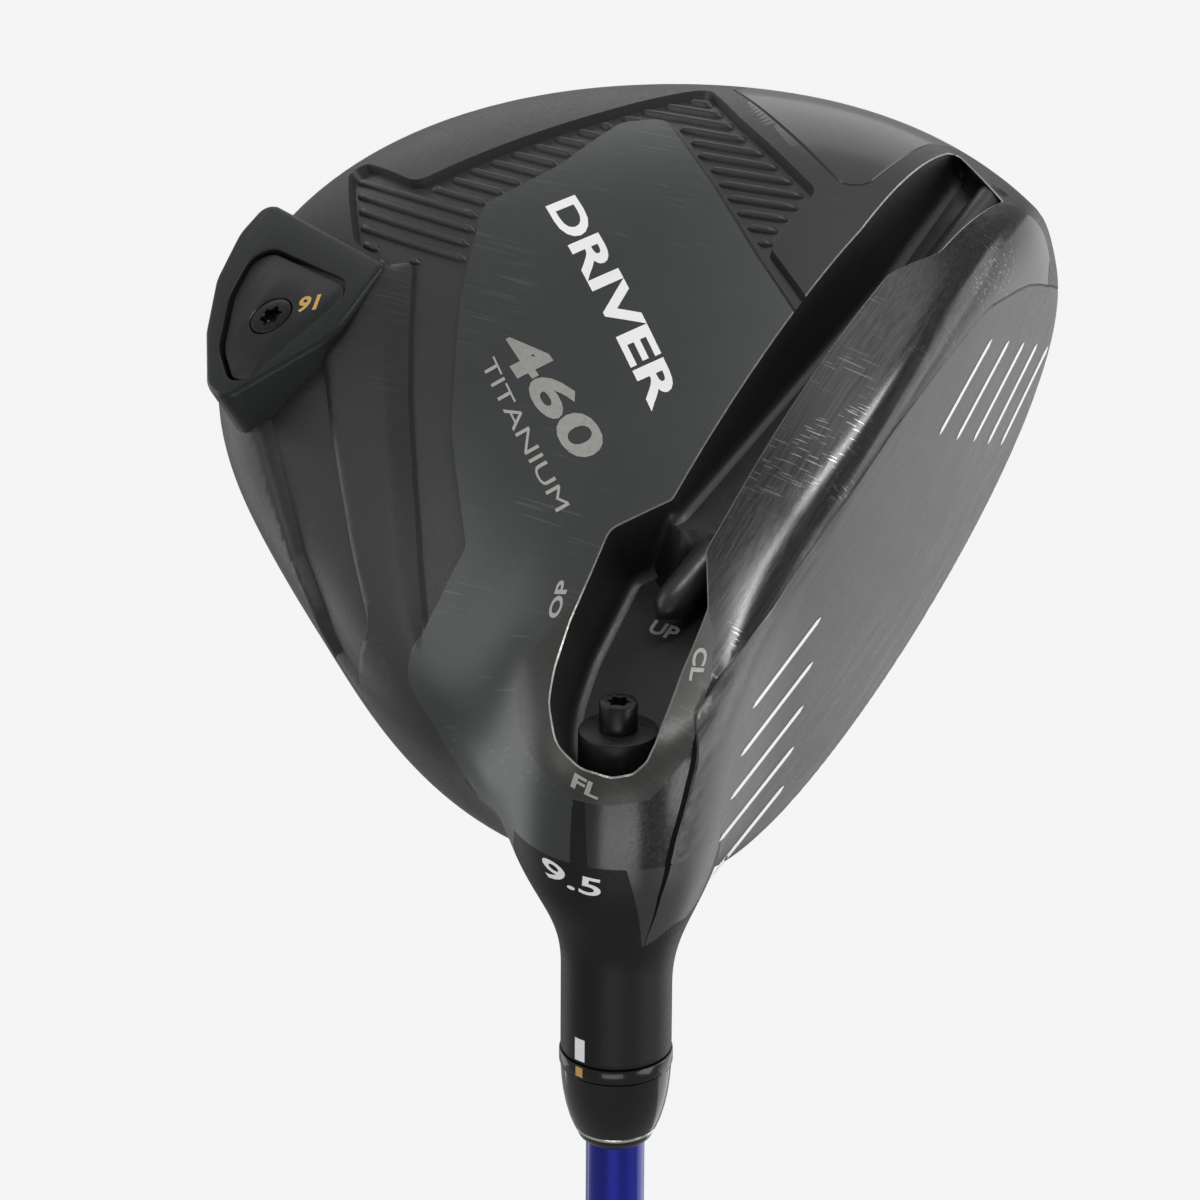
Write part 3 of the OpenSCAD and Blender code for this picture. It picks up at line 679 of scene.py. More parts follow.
rail = ~gone & ~on_face & ~rim & inside(mid, rail_area)
on_plate = ~gone & ~rim & ~rail & ~on_face & inside(mid, moved(plate, -PLATE_SLOPE))
toe_area = chart(np.vstack([sole_points(rounded(TOE_PANEL, False)), [[84, 49, 40], [84, -4, 30]]]))
toe = ~gone & ~rim & inside(mid, toe_area)
floor = ~gone & inside(mid, recess) & ~on_plate & ~rim
rest = ~(gone | rim | on_face | rail | on_plate | toe | floor)
gap = rail & inside(mid, gap_area)
rail &= ~gap
ring = ~(gone | rim | rail | gap | on_face) & inside(mid, band_area)
# the heel's band of painted highlight
light = ~(gone | rim | rail | gap | ring | on_face) & inside(mid, heel_painted_highlight)
# the heel's band of painted shade
painted_shade_faces = ~(gone | rim | rail | gap | ring | on_face | light) & inside(mid, heel_painted_shade)
on_plate &= ~(ring | light | painted_shade_faces | gap)
rest &= ~(ring | light | painted_shade_faces | gap)
# the heel's two bands are painted light: a painted highlight and a painted shade on one metal
for name, chosen, finish in (
        ("BodyShell", rest, CAST_BLACK), ("RecessFloor", floor, RIB_BLACK), ("RailPolished", rail, RAIL_METAL),
        ("ToePanel", toe, TOE_LACQUER), ("RimBare", rim, BARE_EDGE), ("PortBand", ring, HEEL_SATIN),
        ("HeelPaintedHighlight", light, HEEL_PAINTED_HIGHLIGHT), ("HeelPaintedShade", painted_shade_faces, HEEL_PAINTED_SHADE), ("FaceGroove", gap, GAP_BLACK)):
    make(name, *part_of(shell_points, tri, chosen), finish, nodes=["body_casting"], slot="body_matte", smooth=34)
make("SolePlate", *part_of(shell_points, tri, on_plate), PLATE_SATIN, nodes=["sole_plate"], slot="plate_satin",
     smooth=34)
make("FacePlate", *part_of(shell_points, tri, on_face), FACE_METAL, nodes=["face_plate"], slot="face_metal",
     smooth=34)

seam_top = seam(ROUND, True)
neck_top = anticlockwise(chart(NECK_LINE, True))
crown_uv, crown_tri = triangulate([seam_top, neck_top], [], seam_top * 1.01, CROWN_SPACING, (neck_top, 9))
crown_points = lift(crown_uv, True)
crown_tri = facing_out(crown_points, crown_tri)
mid = crown_uv[crown_tri].mean(1)
crown = inside(mid, seam_top) & ~inside(mid, neck_top) & ~past_neck(crown_points[crown_tri].mean(1))
make("TopShell", *part_of(crown_points, crown_tri, crown), CROWN_GLOSS, nodes=["crown_shell"], slot="crown_gloss")

# the hosel: rows of rings from the line where it meets the head up to its end; the rail, the black gap and the
# face run a little way up it
RAIL_EDGE = ([27, 28.2, 31.1, 33.7, 38.0, 41.9], [141, 138.9, 135.3, 132.3, 127.3, 122.5])
GAP_EDGE = ([24, 28.9, 33.0, 37.6, 42.0], [104.7, 109.2, 114.5, 117.2, 119.3])
FACE_END = ([50, 62.5, 74.5, 91.4, 100.7, 109.8, 119.3], [30, 38, 39.3, 39.5, 40.3, 41.4, 42.1])
HOSEL_RISE = 42.0
edge_station = (NECK_LINE - SHAFT_FOOT) @ SHAFT
degrees = np.degrees(NECK_TURNS)
at_rail = int(np.argmin(np.abs(degrees - np.interp(edge_station, *RAIL_EDGE))))
at_gap = int(np.argmin(np.abs(degrees - np.interp(edge_station, *GAP_EDGE))))
rows, turn_rows, station_rows = [NECK_LINE], [degrees], [edge_station]
for t in (np.linspace(0, 1, 110) ** 1.2)[1:]:
    station = edge_station + (HOSEL_END - 0.5 - edge_station) * t
    knots = [degrees[0], 40, degrees[at_gap], degrees[at_rail], 180]
    goals = [degrees[0], 40, np.interp(station[at_gap], *GAP_EDGE), np.interp(station[at_rail], *RAIL_EDGE), 180]
    turns = np.interp(degrees, knots, goals)
    ways = around(np.radians(turns))
    start = axis_point(station[:, None])
    rows.append(start + ways * first_exit(start, ways, 3, 40, 1.0)[:, None])
    turn_rows.append(turns)
    station_rows.append(station)
for station, radius in ((HOSEL_END - 0.15, HOSEL_R - 0.08), (HOSEL_END, HOSEL_R - 0.4), (HOSEL_END, 6.6)):
    rows.append(axis_point(station) + ways * radius)
    turn_rows.append(turns)
    station_rows.append(np.full(len(turns), station))
n = len(NECK_TURNS)
hosel_points = np.vstack(rows)
faces = np.array(tube(len(rows), n))
column = np.tile(np.arange(n), len(rows) - 1)
cell_station = np.hstack(station_rows)[faces].mean(1)
cell_turn = np.hstack(turn_rows)[faces[:, 0]]
low = cell_station < HOSEL_RISE
gap_columns = 3
h_rail = low & (column >= at_gap + gap_columns) & (column < at_rail)
h_gap = low & (column >= at_gap) & (column < at_gap + gap_columns)
h_face = (column < at_gap) & (cell_turn > 50) & (cell_station < np.interp(cell_turn, *FACE_END))
for name, chosen, finish in (("Hosel", ~(h_rail | h_gap | h_face), HOSEL_MATTE), ("HoselRail", h_rail, HEEL_RAIL),
                             ("HoselGroove", h_gap, GAP_BLACK), ("HoselFace", h_face, HEEL_FACE)):
    make(name, *part_of(hosel_points, faces, chosen), finish, nodes=["hosel"], slot="hosel_matte", smooth=35)


# ---------------------------------------------------------------- ribs in the recess
def on_surface(points, lifted=0.0, floor=False):
    """Points near the head put on its surface, or on the recess floor, lifted off it by some height."""
    flat = chart(points)
    base = lift(flat)
    out = normal_at(base)
    depth = carve(flat) if floor else 0.0
    return base + out * (np.asarray(lifted) - depth)[..., None]


RIB_PITCH, RIB_HALF, RIB_HEIGHT = 2.9, 0.75, 0.75
RIB_PROFILE = [(-1, -0.25), (-0.72, 0.6), (-0.3, 0.95), (0.3, 0.95), (0.72, 0.6), (1, -0.25)]
rib_points, rib_faces = [], []
rib_room = moved(recess, 0.9)
plate_room = moved(plate, -(PLATE_SLOPE + 0.5))
for k in range(-20, 22):
    y = np.arange(-60, 40, 0.8)
    x = RIB_PITCH * k + 0.0035 * (y + 8) ** 2
    spots = chart(sole_points(np.column_stack([np.clip(x, -62, 66), y])))
    ok = inside(spots, rib_room) & ~inside(spots, plate_room) & (np.abs(x) < 66)
    if RIB_PITCH * k < 3:
        ok &= distance(spots, recess) < 2.6
    runs = np.split(np.arange(len(y)), np.where(np.diff(ok.astype(int)) != 0)[0] + 1)
    for run in runs:
        if len(run) < 3 or not ok[run[0]]:
            continue
        plan = np.column_stack([x[run], y[run]])
        along = np.gradient(plan, axis=0)
        along /= np.linalg.norm(along, axis=1, keepdims=True)
        side = np.column_stack([-along[:, 1], along[:, 0]])
        ends = np.sqrt(np.clip(1 - (np.abs(np.linspace(-1, 1, len(run))) ** (len(run) * 0.8)), 0, 1))
        rings = []
        for a, h in RIB_PROFILE:
            p = sole_points(plan + side * (a * RIB_HALF * (0.35 + 0.65 * ends))[:, None])
            rings.append(on_surface(p, h * RIB_HEIGHT * ends, floor=True))
        base = len(rib_points)
        m = len(RIB_PROFILE)
        rib_points += list(np.stack(rings, 1).reshape(-1, 3))
        for i in range(len(run) - 1):
            for j in range(m - 1):
                a = base + i * m + j
                rib_faces.append((a, a + 1, a + 1 + m, a + m))
        rib_faces += [tuple(base + j for j in range(m))[::-1],
                      tuple(base + (len(run) - 1) * m + j for j in range(m))]
make("Ribs", rib_points, rib_faces, RIB_BLACK, nodes=["body_casting"], slot="body_matte", smooth=40)


# ---------------------------------------------------------------- slot and port
def wall(name, outline, depth_at, rows_of, finish, nodes, slot):
    """A wall that drops from an outline on the sole to a floor, with a rounded foot and the floor itself."""
    foot = 1.6
    low = dense(outline, 1.2)
    top = lift(low) - normal_at(lift(low)) * RIM_STEP
    plan = top[:, :2]
    if np.sum(plan[:, 0] * np.roll(plan[:, 1], -1) - plan[:, 1] * np.roll(plan[:, 0], -1)) < 0:
        top, plan = top[::-1], plan[::-1]
    rings = [top]
    ends = depth_at(plan[:, 0])
    for t in rows_of:
        rings.append(np.column_stack([plan, top[:, 2] + (ends - foot - top[:, 2]) * t]))
    for a in (30, 60, 90):
        a = math.radians(a)
        inner = moved(plan, foot * (1 - math.cos(a)))
        rings.append(np.column_stack([inner, ends - foot + foot * math.sin(a)]))
    n = len(plan)
    faces = tube(len(rings), n, turned_in=True)
    points = np.vstack(rings)
    last = points[-n:]
    fill_uv, fill = triangulate([last[:, :2]], [], last[:, :2], 2.5)
    fill = fill[inside(fill_uv[fill].mean(1), last[:, :2])]
    near = tree_of(last)
    height = [last[near.find((*p, 0))[1]][2] for p in fill_uv]
    base = len(points)
    points = np.vstack([points, np.column_stack([fill_uv, height])])
    faces += [tuple(base + f[::-1]) for f in fill]
    make(name, points, faces, finish, nodes=nodes, slot=slot, smooth=40)


PORT_FLOOR, SLOT_FLOOR, SLOT_CLIMB, PORT_MEETS_SLOT = 16.0, 12.0, 0.18, -27.0


def cavity_floor(x):
    blend = np.clip((x - PORT_MEETS_SLOT) / 4 + 0.5, 0, 1)
    return PORT_FLOOR * (1 - blend) + (SLOT_FLOOR + SLOT_CLIMB * x) * blend


wall("CavityWalls", opening, cavity_floor, (0.12, 0.3, 0.5, 0.75, 1.0), CAVITY,
     ["slot_channel", "port_cup"], "cavity_black")


def rod(name, line, radii, finish, nodes, slot, sides=24):
    """A round bar along a line of points, with its own radius at each."""
    line = np.array(line, float)
    along = np.gradient(line, axis=0)
    along /= np.linalg.norm(along, axis=1, keepdims=True)
    a = np.cross(along, [0.0, 0.0, 1.0])
    a /= np.linalg.norm(a, axis=1, keepdims=True)
    b = np.cross(along, a)
    turns = np.linspace(0, 2 * math.pi, sides, endpoint=False)
    rings = [p + r * around(turns, u, v) for p, r, u, v in zip(line, radii, a, b)]
    points = np.vstack(rings)
    faces = tube(len(rings), sides)
    faces += [tuple(range(sides))[::-1], tuple((len(rings) - 1) * sides + k for k in range(sides))]
    make(name, points, faces, finish, nodes=nodes, slot=slot, smooth=50)


# the soft bar in the slot, with a round nose that reaches into the port and bends away from the face there
INSERT_R, INSERT_REACH, NOSE_BEND, NOSE_WIDTH = 3.4, 92, 3.2, 0.74
t = np.linspace(0, 1, 60)
bar = np.column_stack([-39.3 + 92.8 * t, 43.2 + 1.2 * np.sin(t * 3) - NOSE_BEND * (1 - t) ** 4,
                       11.6 + 0.1 * INSERT_REACH * t * t + 0.4 * t])
nose = np.sqrt(np.clip(1 - (1 - np.clip(t * INSERT_REACH / INSERT_R, 0, 1)) ** 2, 0.01, 1))
nose *= np.minimum(NOSE_WIDTH + t, 1)
rod("SlotInsert", bar, INSERT_R * nose, INSERT, nodes=["slot_insert"], slot="insert_polymer")


# ---------------------------------------------------------------- turned pieces on an axis
TURNED_SIDES = 64


def turned(name, profile, finish, body, nodes, slot, base=0.0):
    """A piece turned round the shaft axis: profile holds (radius, station above the base)."""
    turns = np.linspace(0, 2 * math.pi, TURNED_SIDES, endpoint=False)
    ways = around(turns, *across(SHAFT))
    rings = [axis_point(base) + SHAFT * h + r * ways for r, h in profile]
    faces = tube(len(rings), TURNED_SIDES, closed=True)
    line = np.array(profile)
    if (line[:, 0] * np.roll(line[:, 1], -1) - line[:, 1] * np.roll(line[:, 0], -1)).sum() < 0:
        faces = [f[::-1] for f in faces]
    make(name, np.vstack(rings), faces, finish, body, nodes, slot, smooth=35)


def lobed_screw(name, origin, axis, head_r, head_t, shank_r, shank_l, socket_r, socket_t, finish, body, nodes, slot):
    """A cheese-head screw with a six-lobe socket, its head's face at the origin and its shank against the axis."""
    u, v = across(axis)
    sides = 96
    turns = np.linspace(0, 2 * math.pi, sides, endpoint=False)
    lobe = socket_r * (0.86 + 0.14 * np.cos(6 * turns) + 0.025 * np.cos(12 * turns))
    even = np.ones(sides)
    rows = [(lobe * 0.9, -socket_t), (lobe, -socket_t + 0.15), (lobe, -0.12), (lobe + 0.12, 0.0),
            (even * (head_r - 0.45), 0.0), (even * (head_r - 0.16), -0.1), (even * head_r, -0.42),
            (even * head_r, -head_t), (even * shank_r, -head_t), (even * shank_r, -shank_l + 0.4),
            (even * (shank_r - 0.4), -shank_l)]
    rings = [origin + axis * h + (r * np.cos(turns))[:, None] * u + (r * np.sin(turns))[:, None] * v
             for r, h in rows]
    faces = tube(len(rings), sides, turned_in=True)
    faces += [tuple(range(sides)), tuple((len(rings) - 1) * sides + k for k in range(sides))[::-1]]
    make(name, np.vstack(rings), faces, finish, body, nodes, slot, smooth=30)


SCREW_TOP, RING_TOP, RING_SEAT = 7.0, 11.4, 17.0
lobed_screw("HoselScrew", axis_point(SCREW_TOP), -SHAFT, 2.8, 4.3, 2.0, 29, 1.75, 1.6, SCREW_BLACK,
            "hosel_screw", ["hosel_screw"], "hosel_screw_steel")
turned("LowerRing", [(2.1, RING_TOP + 0.3), (2.5, RING_TOP), (5.35, RING_TOP),
       (5.7, RING_TOP + 0.12), (5.8, RING_TOP + 0.4), (5.8, RING_SEAT - 0.1), (5.0, RING_SEAT - 0.1), (5.0, 23.9),
       (2.1, 23.9)],
       RING_BLACK, "lower_ring", ["lower_ring"], "ring_black")
turned("Collar", [(6.4, 53), (6.4, 62.56), (7.95, 62.56), (8.22, 62.66), (8.3, 62.85),
       (8.3, 64.55), (8.22, 64.78), (7.95, 64.9), (5.1, 64.9), (5.1, 53)],
       COLLAR_GLOSS, "upper_ring", ["upper_ring"], "collar_gloss")
turned("Ferrule", [(4.35, 64.97), (7.95, 64.97), (8.1, 65.1), (8.08, 65.6), (7.95, 67.5),
       (7.7, 69.6), (7.3, 71.7), (6.75, 73.7), (6.2, 75.1), (5.3, 75.1), (5.3, 75.7), (5.75, 75.72), (5.7, 76.1),
       (5.4, 76.8), (5.0, 77.2), (4.35, 77.3)],
       FERRULE_GLOSS, "shaft_group", ["ferrule"], "ferrule_gloss")
turned("FerruleTrim", [(5.25, 75.1), (5.85, 75.1), (6.0, 75.2), (6.02, 75.4), (5.95, 75.65),
       (5.8, 75.7), (5.25, 75.7)], SILVER, "shaft_group", ["ferrule_ring"], "trim_silver")
GRIP_START = LENGTH - GRIP_LENGTH
shaft_profile = [(3.2, 38), (4.3, 38)]
for station in np.linspace(76, GRIP_START + 20, 60):
    shaft_profile.append((4.3 + 3.3 * np.clip((station - 150) / (GRIP_START - 150), 0, 1), station))
shaft_profile.append((3.2, shaft_profile[-1][1]))
turned("Shaft", shaft_profile, SHAFT_BLUE, "shaft_group", ["shaft"], "shaft_blue")


def grip_radius(s):
    return float(np.interp(s, [0, 0.8, 70, 170, 235, 260, 265], [9.0, 9.6, 10.9, 12.6, 14.6, 15.6, 15.6]))


GRIP_SIDES, GRIP_STEP, GRIP_END = 120, 0.9, 265.0
LATTICE_ROUND, LATTICE_CLIMB = 36, 7.5             # crossing cuts round the grip, and mm of grip for one of them
BAND_CUTS = (30, 100, 170, 240)                    # plain rings cut round the grip at these heights
turns = np.linspace(0, 2 * math.pi, GRIP_SIDES, endpoint=False)
rings = []
ways = around(turns)
for s in np.arange(0.0, GRIP_END + 0.01, GRIP_STEP):
    rim_fade = min(1.0, max(0.0, min(s - 8, 258 - s) / 4))
    lattice = np.minimum(*(np.abs(np.mod(turns * LATTICE_ROUND / (2 * math.pi) + climb, 1) - 0.5)
                           for climb in (s / LATTICE_CLIMB, -s / LATTICE_CLIMB)))
    cut = 0.35 * np.clip(1 - lattice / 0.16, 0, 1) * rim_fade
    for a in BAND_CUTS:
        cut = cut + 0.3 * np.clip(1 - abs(s - a), 0, 1)
    rings.append(axis_point(GRIP_START + s) + ways * (grip_radius(s) - cut)[:, None])
rings.insert(0, axis_point(GRIP_START) + ways * 7.7)
rings.append(axis_point(GRIP_START + GRIP_END) + ways * 7.9)
make("Grip", np.vstack(rings), tube(len(rings), GRIP_SIDES), GRIP_RUBBER, "shaft_group", ["grip"], "grip_rubber",
     smooth=50)
turned("GripCap", [(1.5, 0.1), (15.5, 0.1), (15.75, 0.6), (15.85, 1.6), (15.7, 2.8),
       (15.2, 3.8), (14.3, 4.5), (13.0, 4.9), (9.0, 5.0), (8.6, 4.6), (8.2, 4.6), (7.8, 5.0), (2.6, 5.0), (1.9, 4.8),
       (1.5, 4.3)], CAP_RUBBER, "shaft_group", ["grip_cap"], "cap_rubber", base=LENGTH - 5)


# ---------------------------------------------------------------- the pod and its weight
POD_POINT = np.array([-10.6, -47.0, 5.4])
lean = math.radians(11.3)
POD_OUT = np.array([0, -math.sin(lean), -math.cos(lean)])
POD_SIDE = np.array([0, -math.cos(lean), math.sin(lean)])
POD_ACROSS = np.array([1.0, 0, 0])


def on_pod(flat, height):
    """Points given across and down the pod's face, at a height above it."""
    return (POD_POINT + flat[:, :1] * POD_ACROSS + flat[:, 1:2] * POD_SIDE
            + np.broadcast_to(np.asarray(height, float), len(flat))[:, None] * POD_OUT)


def stacked(name, outline, steps, finish, body, nodes, slot, hole):
    """Rings of one outline, moved in by a distance at a height; the last is joined to a hole."""
    outline = anticlockwise(outline)
    rings = [on_pod(moved(outline, inset), h) for inset, h in steps]
    n = len(outline)
    points = np.vstack(rings)
    faces = tube(len(rings), n)
    last = moved(outline, steps[-1][0])
    points = np.vstack([points, on_pod(hole, steps[-1][1])])
    flat = np.vstack([last, hole])
    for a, b, c in geometry.tessellate_polygon([[Vector((*p, 0)) for p in line] for line in (last, hole)]):
        e, f = flat[b] - flat[a], flat[c] - flat[a]
        corners = (a, b, c) if e[0] * f[1] - e[1] * f[0] > 0 else (a, c, b)
        faces.append(tuple((len(rings) - 1) * n + k for k in corners))
    make(name, points, faces, finish, body, nodes, slot, smooth=32)


POD = [(12.4, -16.0, 2), (22.3, 16.4, 2.5), (15, 17.6, 8), (5.4, 15.6, 6), (-5, 10.2, 6), (-15.4, 2.4, 6),
       (-17.2, -2.6, 3), (-2, -15.5, 10)]
WEIGHT = [(13.2, 11.6, 3.2), (7.2, -12.4, 3.4), (-15.2, -3.6, 3.2), (-7.6, 4.6, 10), (2.6, 9.8, 10)]
pod_outline = dense(rounded(POD), 1.5)
weight_outline = anticlockwise(dense(rounded(WEIGHT), 1.0))
pocket = moved(weight_outline, -0.8)
stacked("Pod", pod_outline, [(0.0, -13.0), (0.0, -1.1), (0.12, -0.55), (0.5, -0.15), (1.1, 0.0)], POD_SATIN, "head",
        ["weight_port"], "pod_satin", hole=pocket)
pocket_rings = [on_pod(moved(pocket, inset), h) for inset, h in ((0.0, 0.0), (0.18, -0.25), (0.18, -4.8))]
make("PodPocket", np.vstack(pocket_rings), tube(3, len(pocket)), CAVITY, "head", ["weight_port"], "pod_satin")
circle = np.column_stack([np.cos(ROUND[::8]), np.sin(ROUND[::8])])
stacked("Weight", weight_outline, [(0.1, -4.3), (0.0, -0.95), (0.1, -0.68), (0.4, -0.5)], WEIGHT_METAL, "weight",
        ["weight"], "weight_metal", hole=circle * 3.95)
bore = [on_pod(circle * r, h) for r, h in ((3.95, -0.5), (3.75, -0.7), (3.75, -2.4))]
make("WeightBore", np.vstack(bore), tube(3, len(circle)), WEIGHT_METAL, "weight", ["weight"], "weight_metal")
lobed_screw("WeightScrew", POD_POINT - POD_OUT * 0.55, POD_OUT, 3.6, 1.8, 2.0, 11, 1.95, 1.5, SCREW_BLACK,
            "weight_screw", ["weight_screw"], "screw_black")


# ---------------------------------------------------------------- painted marks
def projected(points):
    """Points in space near the head, put just above its surface."""
    return on_surface(points, PAINT_LIFT)


def on_true_face(across, up):
    """A point of the face's own curve, given across and up it, which runs on past the face's edge."""
    return (FACE_CENTRE + np.array([across, 0, 0]) + up * FACE_T
            - FACE_N * (across ** 2 / (2 * BULGE) + up ** 2 / (2 * ROLL)))


def level(points):
    """Points near the face, slid on to it along the camera's look, so that a straight row stays straight there."""
    way = EYE - points
    way /= np.linalg.norm(way, axis=1, keepdims=True)
    start = points - way * 4
    on = start + way * first_exit(start, way, 0, 40, 1.0)[:, None]
    return on + normal_at(on) * PAINT_LIFT


PAINT_LIFT, LINE_HALF, LETTER_EDGE, SCORE_POINTS = 0.05, 0.48, 1.2, 20
SCORES = [(35.5, 16.7, -19.5, -37.6), (40.5, 21.0, -23.2, -42.1), (45.3, 25.7, -27.0, -45.9),
          (49.9, 30.1, -30.5, -49.6), (54.2, 34.6, -33.8, -53.0)]     # each row's ends, from the toe to the heel
score_points, score_faces = [], []
for j, (t1, t0, h0, h1) in enumerate(SCORES):
    up = -4.9 + 6.7 * j - 0.1 * j * (j - 1) / 2
    for a0, a1 in ((t0, t1), (h1, h0)):
        half = LINE_HALF * np.sqrt(np.clip(1 - (np.abs(np.linspace(-1, 1, SCORE_POINTS)) ** 30), 0.05, 1))
        ends = on_true_face(a0, up), on_true_face(a1, up)
        middle = ends[0] + np.linspace(0, 1, SCORE_POINTS)[:, None] * (ends[1] - ends[0])
        strip = np.hstack([level(middle - half[:, None] * FACE_T), level(middle + half[:, None] * FACE_T)])
        base = len(score_points)
        score_points += list(strip.reshape(-1, 3))
        score_faces += [(base + 2 * i, base + 2 * i + 1, base + 2 * i + 3, base + 2 * i + 2)
                        for i in range(SCORE_POINTS - 1)]
make("ScoreLines", score_points, [f[::-1] for f in score_faces], WHITE_PAINT, nodes=["face_plate"], slot="face_metal")


def words(name, text, start, end, height, finish, onto=projected, body="head", nodes=("sole_plate",),
          slot="plate_satin", slant=0.0, heavy=0.0, outward=None):
    """Flat letters between two points of their baseline, pressed on a surface."""
    curve = bpy.data.curves.new(name, "FONT")
    curve.body = text
    curve.size = 1.0
    curve.offset = heavy
    curve.resolution_u = 4
    ghost = bpy.data.objects.new(name + "Outline", curve)
    bpy.context.scene.collection.objects.link(ghost)
    bpy.context.view_layer.update()
    mesh = bpy.data.meshes.new_from_object(ghost)
    bpy.data.objects.remove(ghost)
    bm = bmesh.new()
    bm.from_mesh(mesh)
    xy = np.array([v.co[:2] for v in bm.verts])
    lo, hi = xy.min(0), xy.max(0)
    start, end = np.array(start, float), np.array(end, float)
    along = end - start
    length = np.linalg.norm(along)
    along /= length
    out = normal_at((start + end)[None] / 2)[0] if outward is None else np.array(outward, float)
    up = np.cross(out, along)
    up /= np.linalg.norm(up)
    for v in bm.verts:
        v.co.x, v.co.y = (v.co.x - lo[0]) / (hi[0] - lo[0]) * length, (v.co.y - lo[1]) / (hi[1] - lo[1]) * height
        v.co.x += slant * v.co.y
    bmesh.ops.triangulate(bm, faces=bm.faces)
    for _ in range(5):
        long_edges = [e for e in bm.edges if e.calc_length() > LETTER_EDGE]
        if not long_edges:
            break
        bmesh.ops.subdivide_edges(bm, edges=long_edges, cuts=1)
        bmesh.ops.triangulate(bm, faces=bm.faces)
    bm.verts.ensure_lookup_table()
    bm.verts.index_update()
    flat = np.array([v.co[:] for v in bm.verts])
    faces = [tuple(v.index for v in f.verts) for f in bm.faces]
    bm.free()
    points = onto(start + flat[:, :1] * along + flat[:, 1:2] * up)
    a, b, c = (points[faces[0][i]] for i in range(3))
    if np.cross(b - a, c - a) @ out < 0:
        faces = [f[::-1] for f in faces]
    make(name, points, faces, finish, body, list(nodes), slot)


words("BigWord", "DRIVER", (18.5, -11.8, 1.4), (-11.9, 25.9, 1.5), 4.9, WHITE_PAINT, heavy=0.03)
words("Volume", "460", (-8.6, -4.0, 0.4), (-23.9, 19.4, 2.0), 6.0, SILVER_PAINT, slant=0.12, heavy=0.03)
words("SmallWord", "TITANIUM", (-12.3, -4.4, 0.6), (-32.0, 20.5, 3.3), 2.3, GREY_PAINT)
for name, text, start, end, height in (("MarkOpen", "OP", (-48.8, 30.3, 5.2), (-41.9, 28.5, 4.7), 2.0),
                                       ("MarkClosed", "CL", (-44.6, 51.0, 7.8), (-50.2, 53.2, 7.9), 2.0),
                                       ("MarkFlat", "FL", (-71.6, 45.3, 8.7), (-71.7, 49.6, 10.0), 2.1)):
    words(name, text, start, end, height, GREY_PAINT, nodes=["body_casting"], slot="body_matte", heavy=0.03)
words("Loft", "9.5", (-79.3, 40.5, 21.3), (-79.7, 50.5, 22.9), 2.9, WHITE_PAINT, nodes=["hosel"], slot="hosel_matte",
      heavy=0.015)


def on_port_floor(points):
    return np.column_stack([points[:, :2], np.full(len(points), PORT_FLOOR - PAINT_LIFT)])


words("MarkUpright", "UP", (-39.4, 36.7, 15.9), (-39.6, 41.4, 15.9), 2.4, GREY_PAINT, onto=on_port_floor,
      nodes=["port_cup"], slot="port_black", outward=(0, 0, -1), heavy=0.03)


def on_weight(points):
    return points - POD_OUT * ((points - POD_POINT) @ POD_OUT + 0.5 - PAINT_LIFT)[:, None]


words("WeightNumber", "16", POD_POINT + POD_ACROSS * 5.3 - POD_SIDE * 7.1,
      POD_POINT + POD_ACROSS * 4.2 - POD_SIDE * 3.6, 3.4, GOLD_PAINT, onto=on_weight, body="weight",
      nodes=["weight"], slot="weight_metal", heavy=0.03, outward=POD_OUT)


def patch_on_axis(name, stations, turns, radius, finish, body, nodes, slot):
    """A painted mark on a turned piece."""
    wide, high = 8, 6
    ways = around(np.radians(np.linspace(*turns, wide)))
    points = np.vstack([axis_point(h) + radius * ways for h in np.linspace(*stations, high)])
    make(name, points, [(i * wide + k, i * wide + k + 1, (i + 1) * wide + k + 1, (i + 1) * wide + k)
                        for i in range(high - 1) for k in range(wide - 1)], finish, body, nodes, slot)


patch_on_axis("HoselMark", (58.3, 61.9), (179.5, 192.5), HOSEL_R + 0.03, WHITE_PAINT, "head", ["hosel"],
              "hosel_matte")
patch_on_axis("CollarMark", (62.85, 64.4), (181, 190), 8.33, GOLD_PAINT, "upper_ring", ["upper_ring"],
              "collar_gloss")


# ---------------------------------------------------------------- camera, lights, floor
def look(obj, at, back, up):
    right = Vector(up).cross(Vector(back)).normalized()
    up = Vector(back).cross(right)
    turn = Matrix((right, up, Vector(back))).transposed().to_4x4()
    obj.matrix_world = Matrix.Translation(Vector(at)) @ turn


camera = bpy.data.objects.new("Camera", bpy.data.cameras.new("Camera"))
bpy.context.scene.collection.objects.link(camera)
camera.data.lens = LENS
camera.data.clip_start, camera.data.clip_end = 0.01, 100
look(camera, EYE * MM, VIEW_BACK, VIEW_UP)
bpy.context.scene.camera = camera
bpy.context.scene.view_settings.view_transform = "Standard"


def softbox(name, right, up, back, distance, width, height, power):
    """A soft light in a direction given along the camera's own right, up and back."""
    way = right * VIEW_RIGHT + up * VIEW_UP + back * VIEW_BACK
    way /= np.linalg.norm(way)
    lamp = bpy.data.objects.new(name, bpy.data.lights.new(name, "AREA"))
    lamp.data.shape = "RECTANGLE"
    lamp.data.size, lamp.data.size_y = width, height
    lamp.data.energy = power
    lamp.visible_camera = False
    bpy.context.scene.collection.objects.link(lamp)
    look(lamp, way * distance, way, VIEW_UP if abs(way @ VIEW_UP) < 0.95 else VIEW_RIGHT)


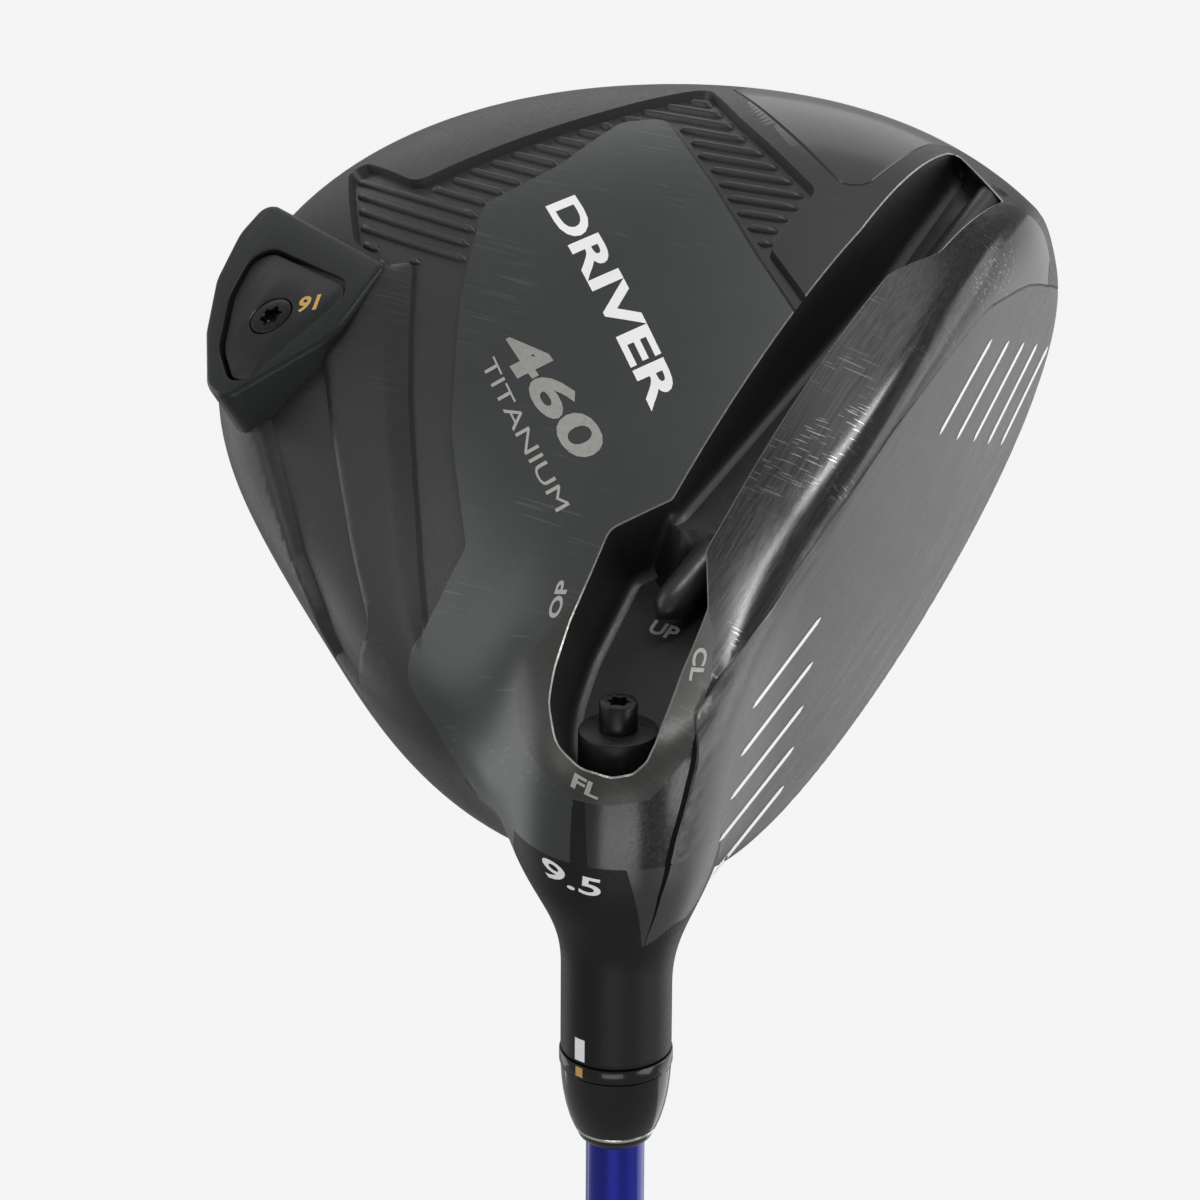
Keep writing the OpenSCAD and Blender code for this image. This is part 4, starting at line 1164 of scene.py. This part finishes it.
softbox("StreakBox", 0.2, 0.77, 0.6, 1.6, 0.85, 0.2, 10)
softbox("TopBox", 0.05, 0.97, 0.2, 1.7, 1.2, 0.6, 3)
softbox("FaceBox", 0.856, -0.341, 0.388, 1.8, 1.0, 1.0, 9)
softbox("LeftBox", -0.9, 0.3, 0.3, 1.8, 0.8, 1.6, 7)
softbox("RightBox", 0.95, 0.25, -0.1, 1.8, 0.8, 1.6, 10)
softbox("LowBox", -0.1, -0.7, 0.7, 1.8, 1.2, 0.5, 5)
softbox("BackRight", 0.75, -0.05, -0.65, 2.4, 2.2, 2.2, 14)
softbox("BackTop", 0.0, 0.75, -0.65, 2.4, 2.2, 1.4, 9)
softbox("BackLeft", -0.75, 0.1, -0.6, 2.4, 1.2, 2.0, 9)

# a pale floor, seen from above only: the camera of the photograph looks up through it
floor_mesh = bpy.data.meshes.new("StudioFloor")
floor_mesh.from_pydata([(-4, -4, -0.0003), (4, -4, -0.0003), (4, 4, -0.0003), (-4, 4, -0.0003)], [], [(0, 1, 2, 3)])
paper = bpy.data.materials.new("FloorPaper")
paper.use_nodes = True
nodes, links = paper.node_tree.nodes, paper.node_tree.links
sheet = nodes["Principled BSDF"]
sheet.inputs["Roughness"].default_value = 0.9
tone = nodes.new("ShaderNodeMix")
tone.data_type = "RGBA"
tone.inputs["A"].default_value, tone.inputs["B"].default_value = (0.8, 0.8, 0.79, 1), (0.86, 0.86, 0.85, 1)
speck = nodes.new("ShaderNodeTexNoise")
speck.inputs["Scale"].default_value = 60
links.new(speck.outputs["Fac"], tone.inputs["Factor"])
links.new(tone.outputs["Result"], sheet.inputs["Base Color"])
through, choose = nodes.new("ShaderNodeBsdfTransparent"), nodes.new("ShaderNodeMixShader")
links.new(nodes.new("ShaderNodeNewGeometry").outputs["Backfacing"], choose.inputs[0])
links.new(sheet.outputs[0], choose.inputs[1])
links.new(through.outputs[0], choose.inputs[2])
links.new(choose.outputs[0], nodes["Material Output"].inputs["Surface"])
floor_mesh.materials.append(paper)
studio_floor = bpy.data.objects.new("StudioFloor", floor_mesh)
bpy.context.scene.collection.objects.link(studio_floor)
studio_floor.visible_diffuse = studio_floor.visible_glossy = False
studio_floor.visible_transmission = studio_floor.visible_shadow = False

world = bpy.data.worlds.new("Studio")
bpy.context.scene.world = world
world.use_nodes = True
nodes, links = world.node_tree.nodes, world.node_tree.links
shade = nodes["Background"]
shade.inputs["Color"].default_value = (0.95, 0.96, 0.97, 1)
shade.inputs["Strength"].default_value = 0.36
seen = nodes.new("ShaderNodeBackground")
seen.inputs["Color"].default_value = (0.905, 0.91, 0.91, 1)
seen.inputs["Strength"].default_value = 1.0
pick = nodes.new("ShaderNodeMixShader")
links.new(nodes.new("ShaderNodeLightPath").outputs["Is Camera Ray"], pick.inputs[0])
links.new(shade.outputs[0], pick.inputs[1])
links.new(seen.outputs[0], pick.inputs[2])
links.new(pick.outputs[0], nodes["World Output"].inputs[0])
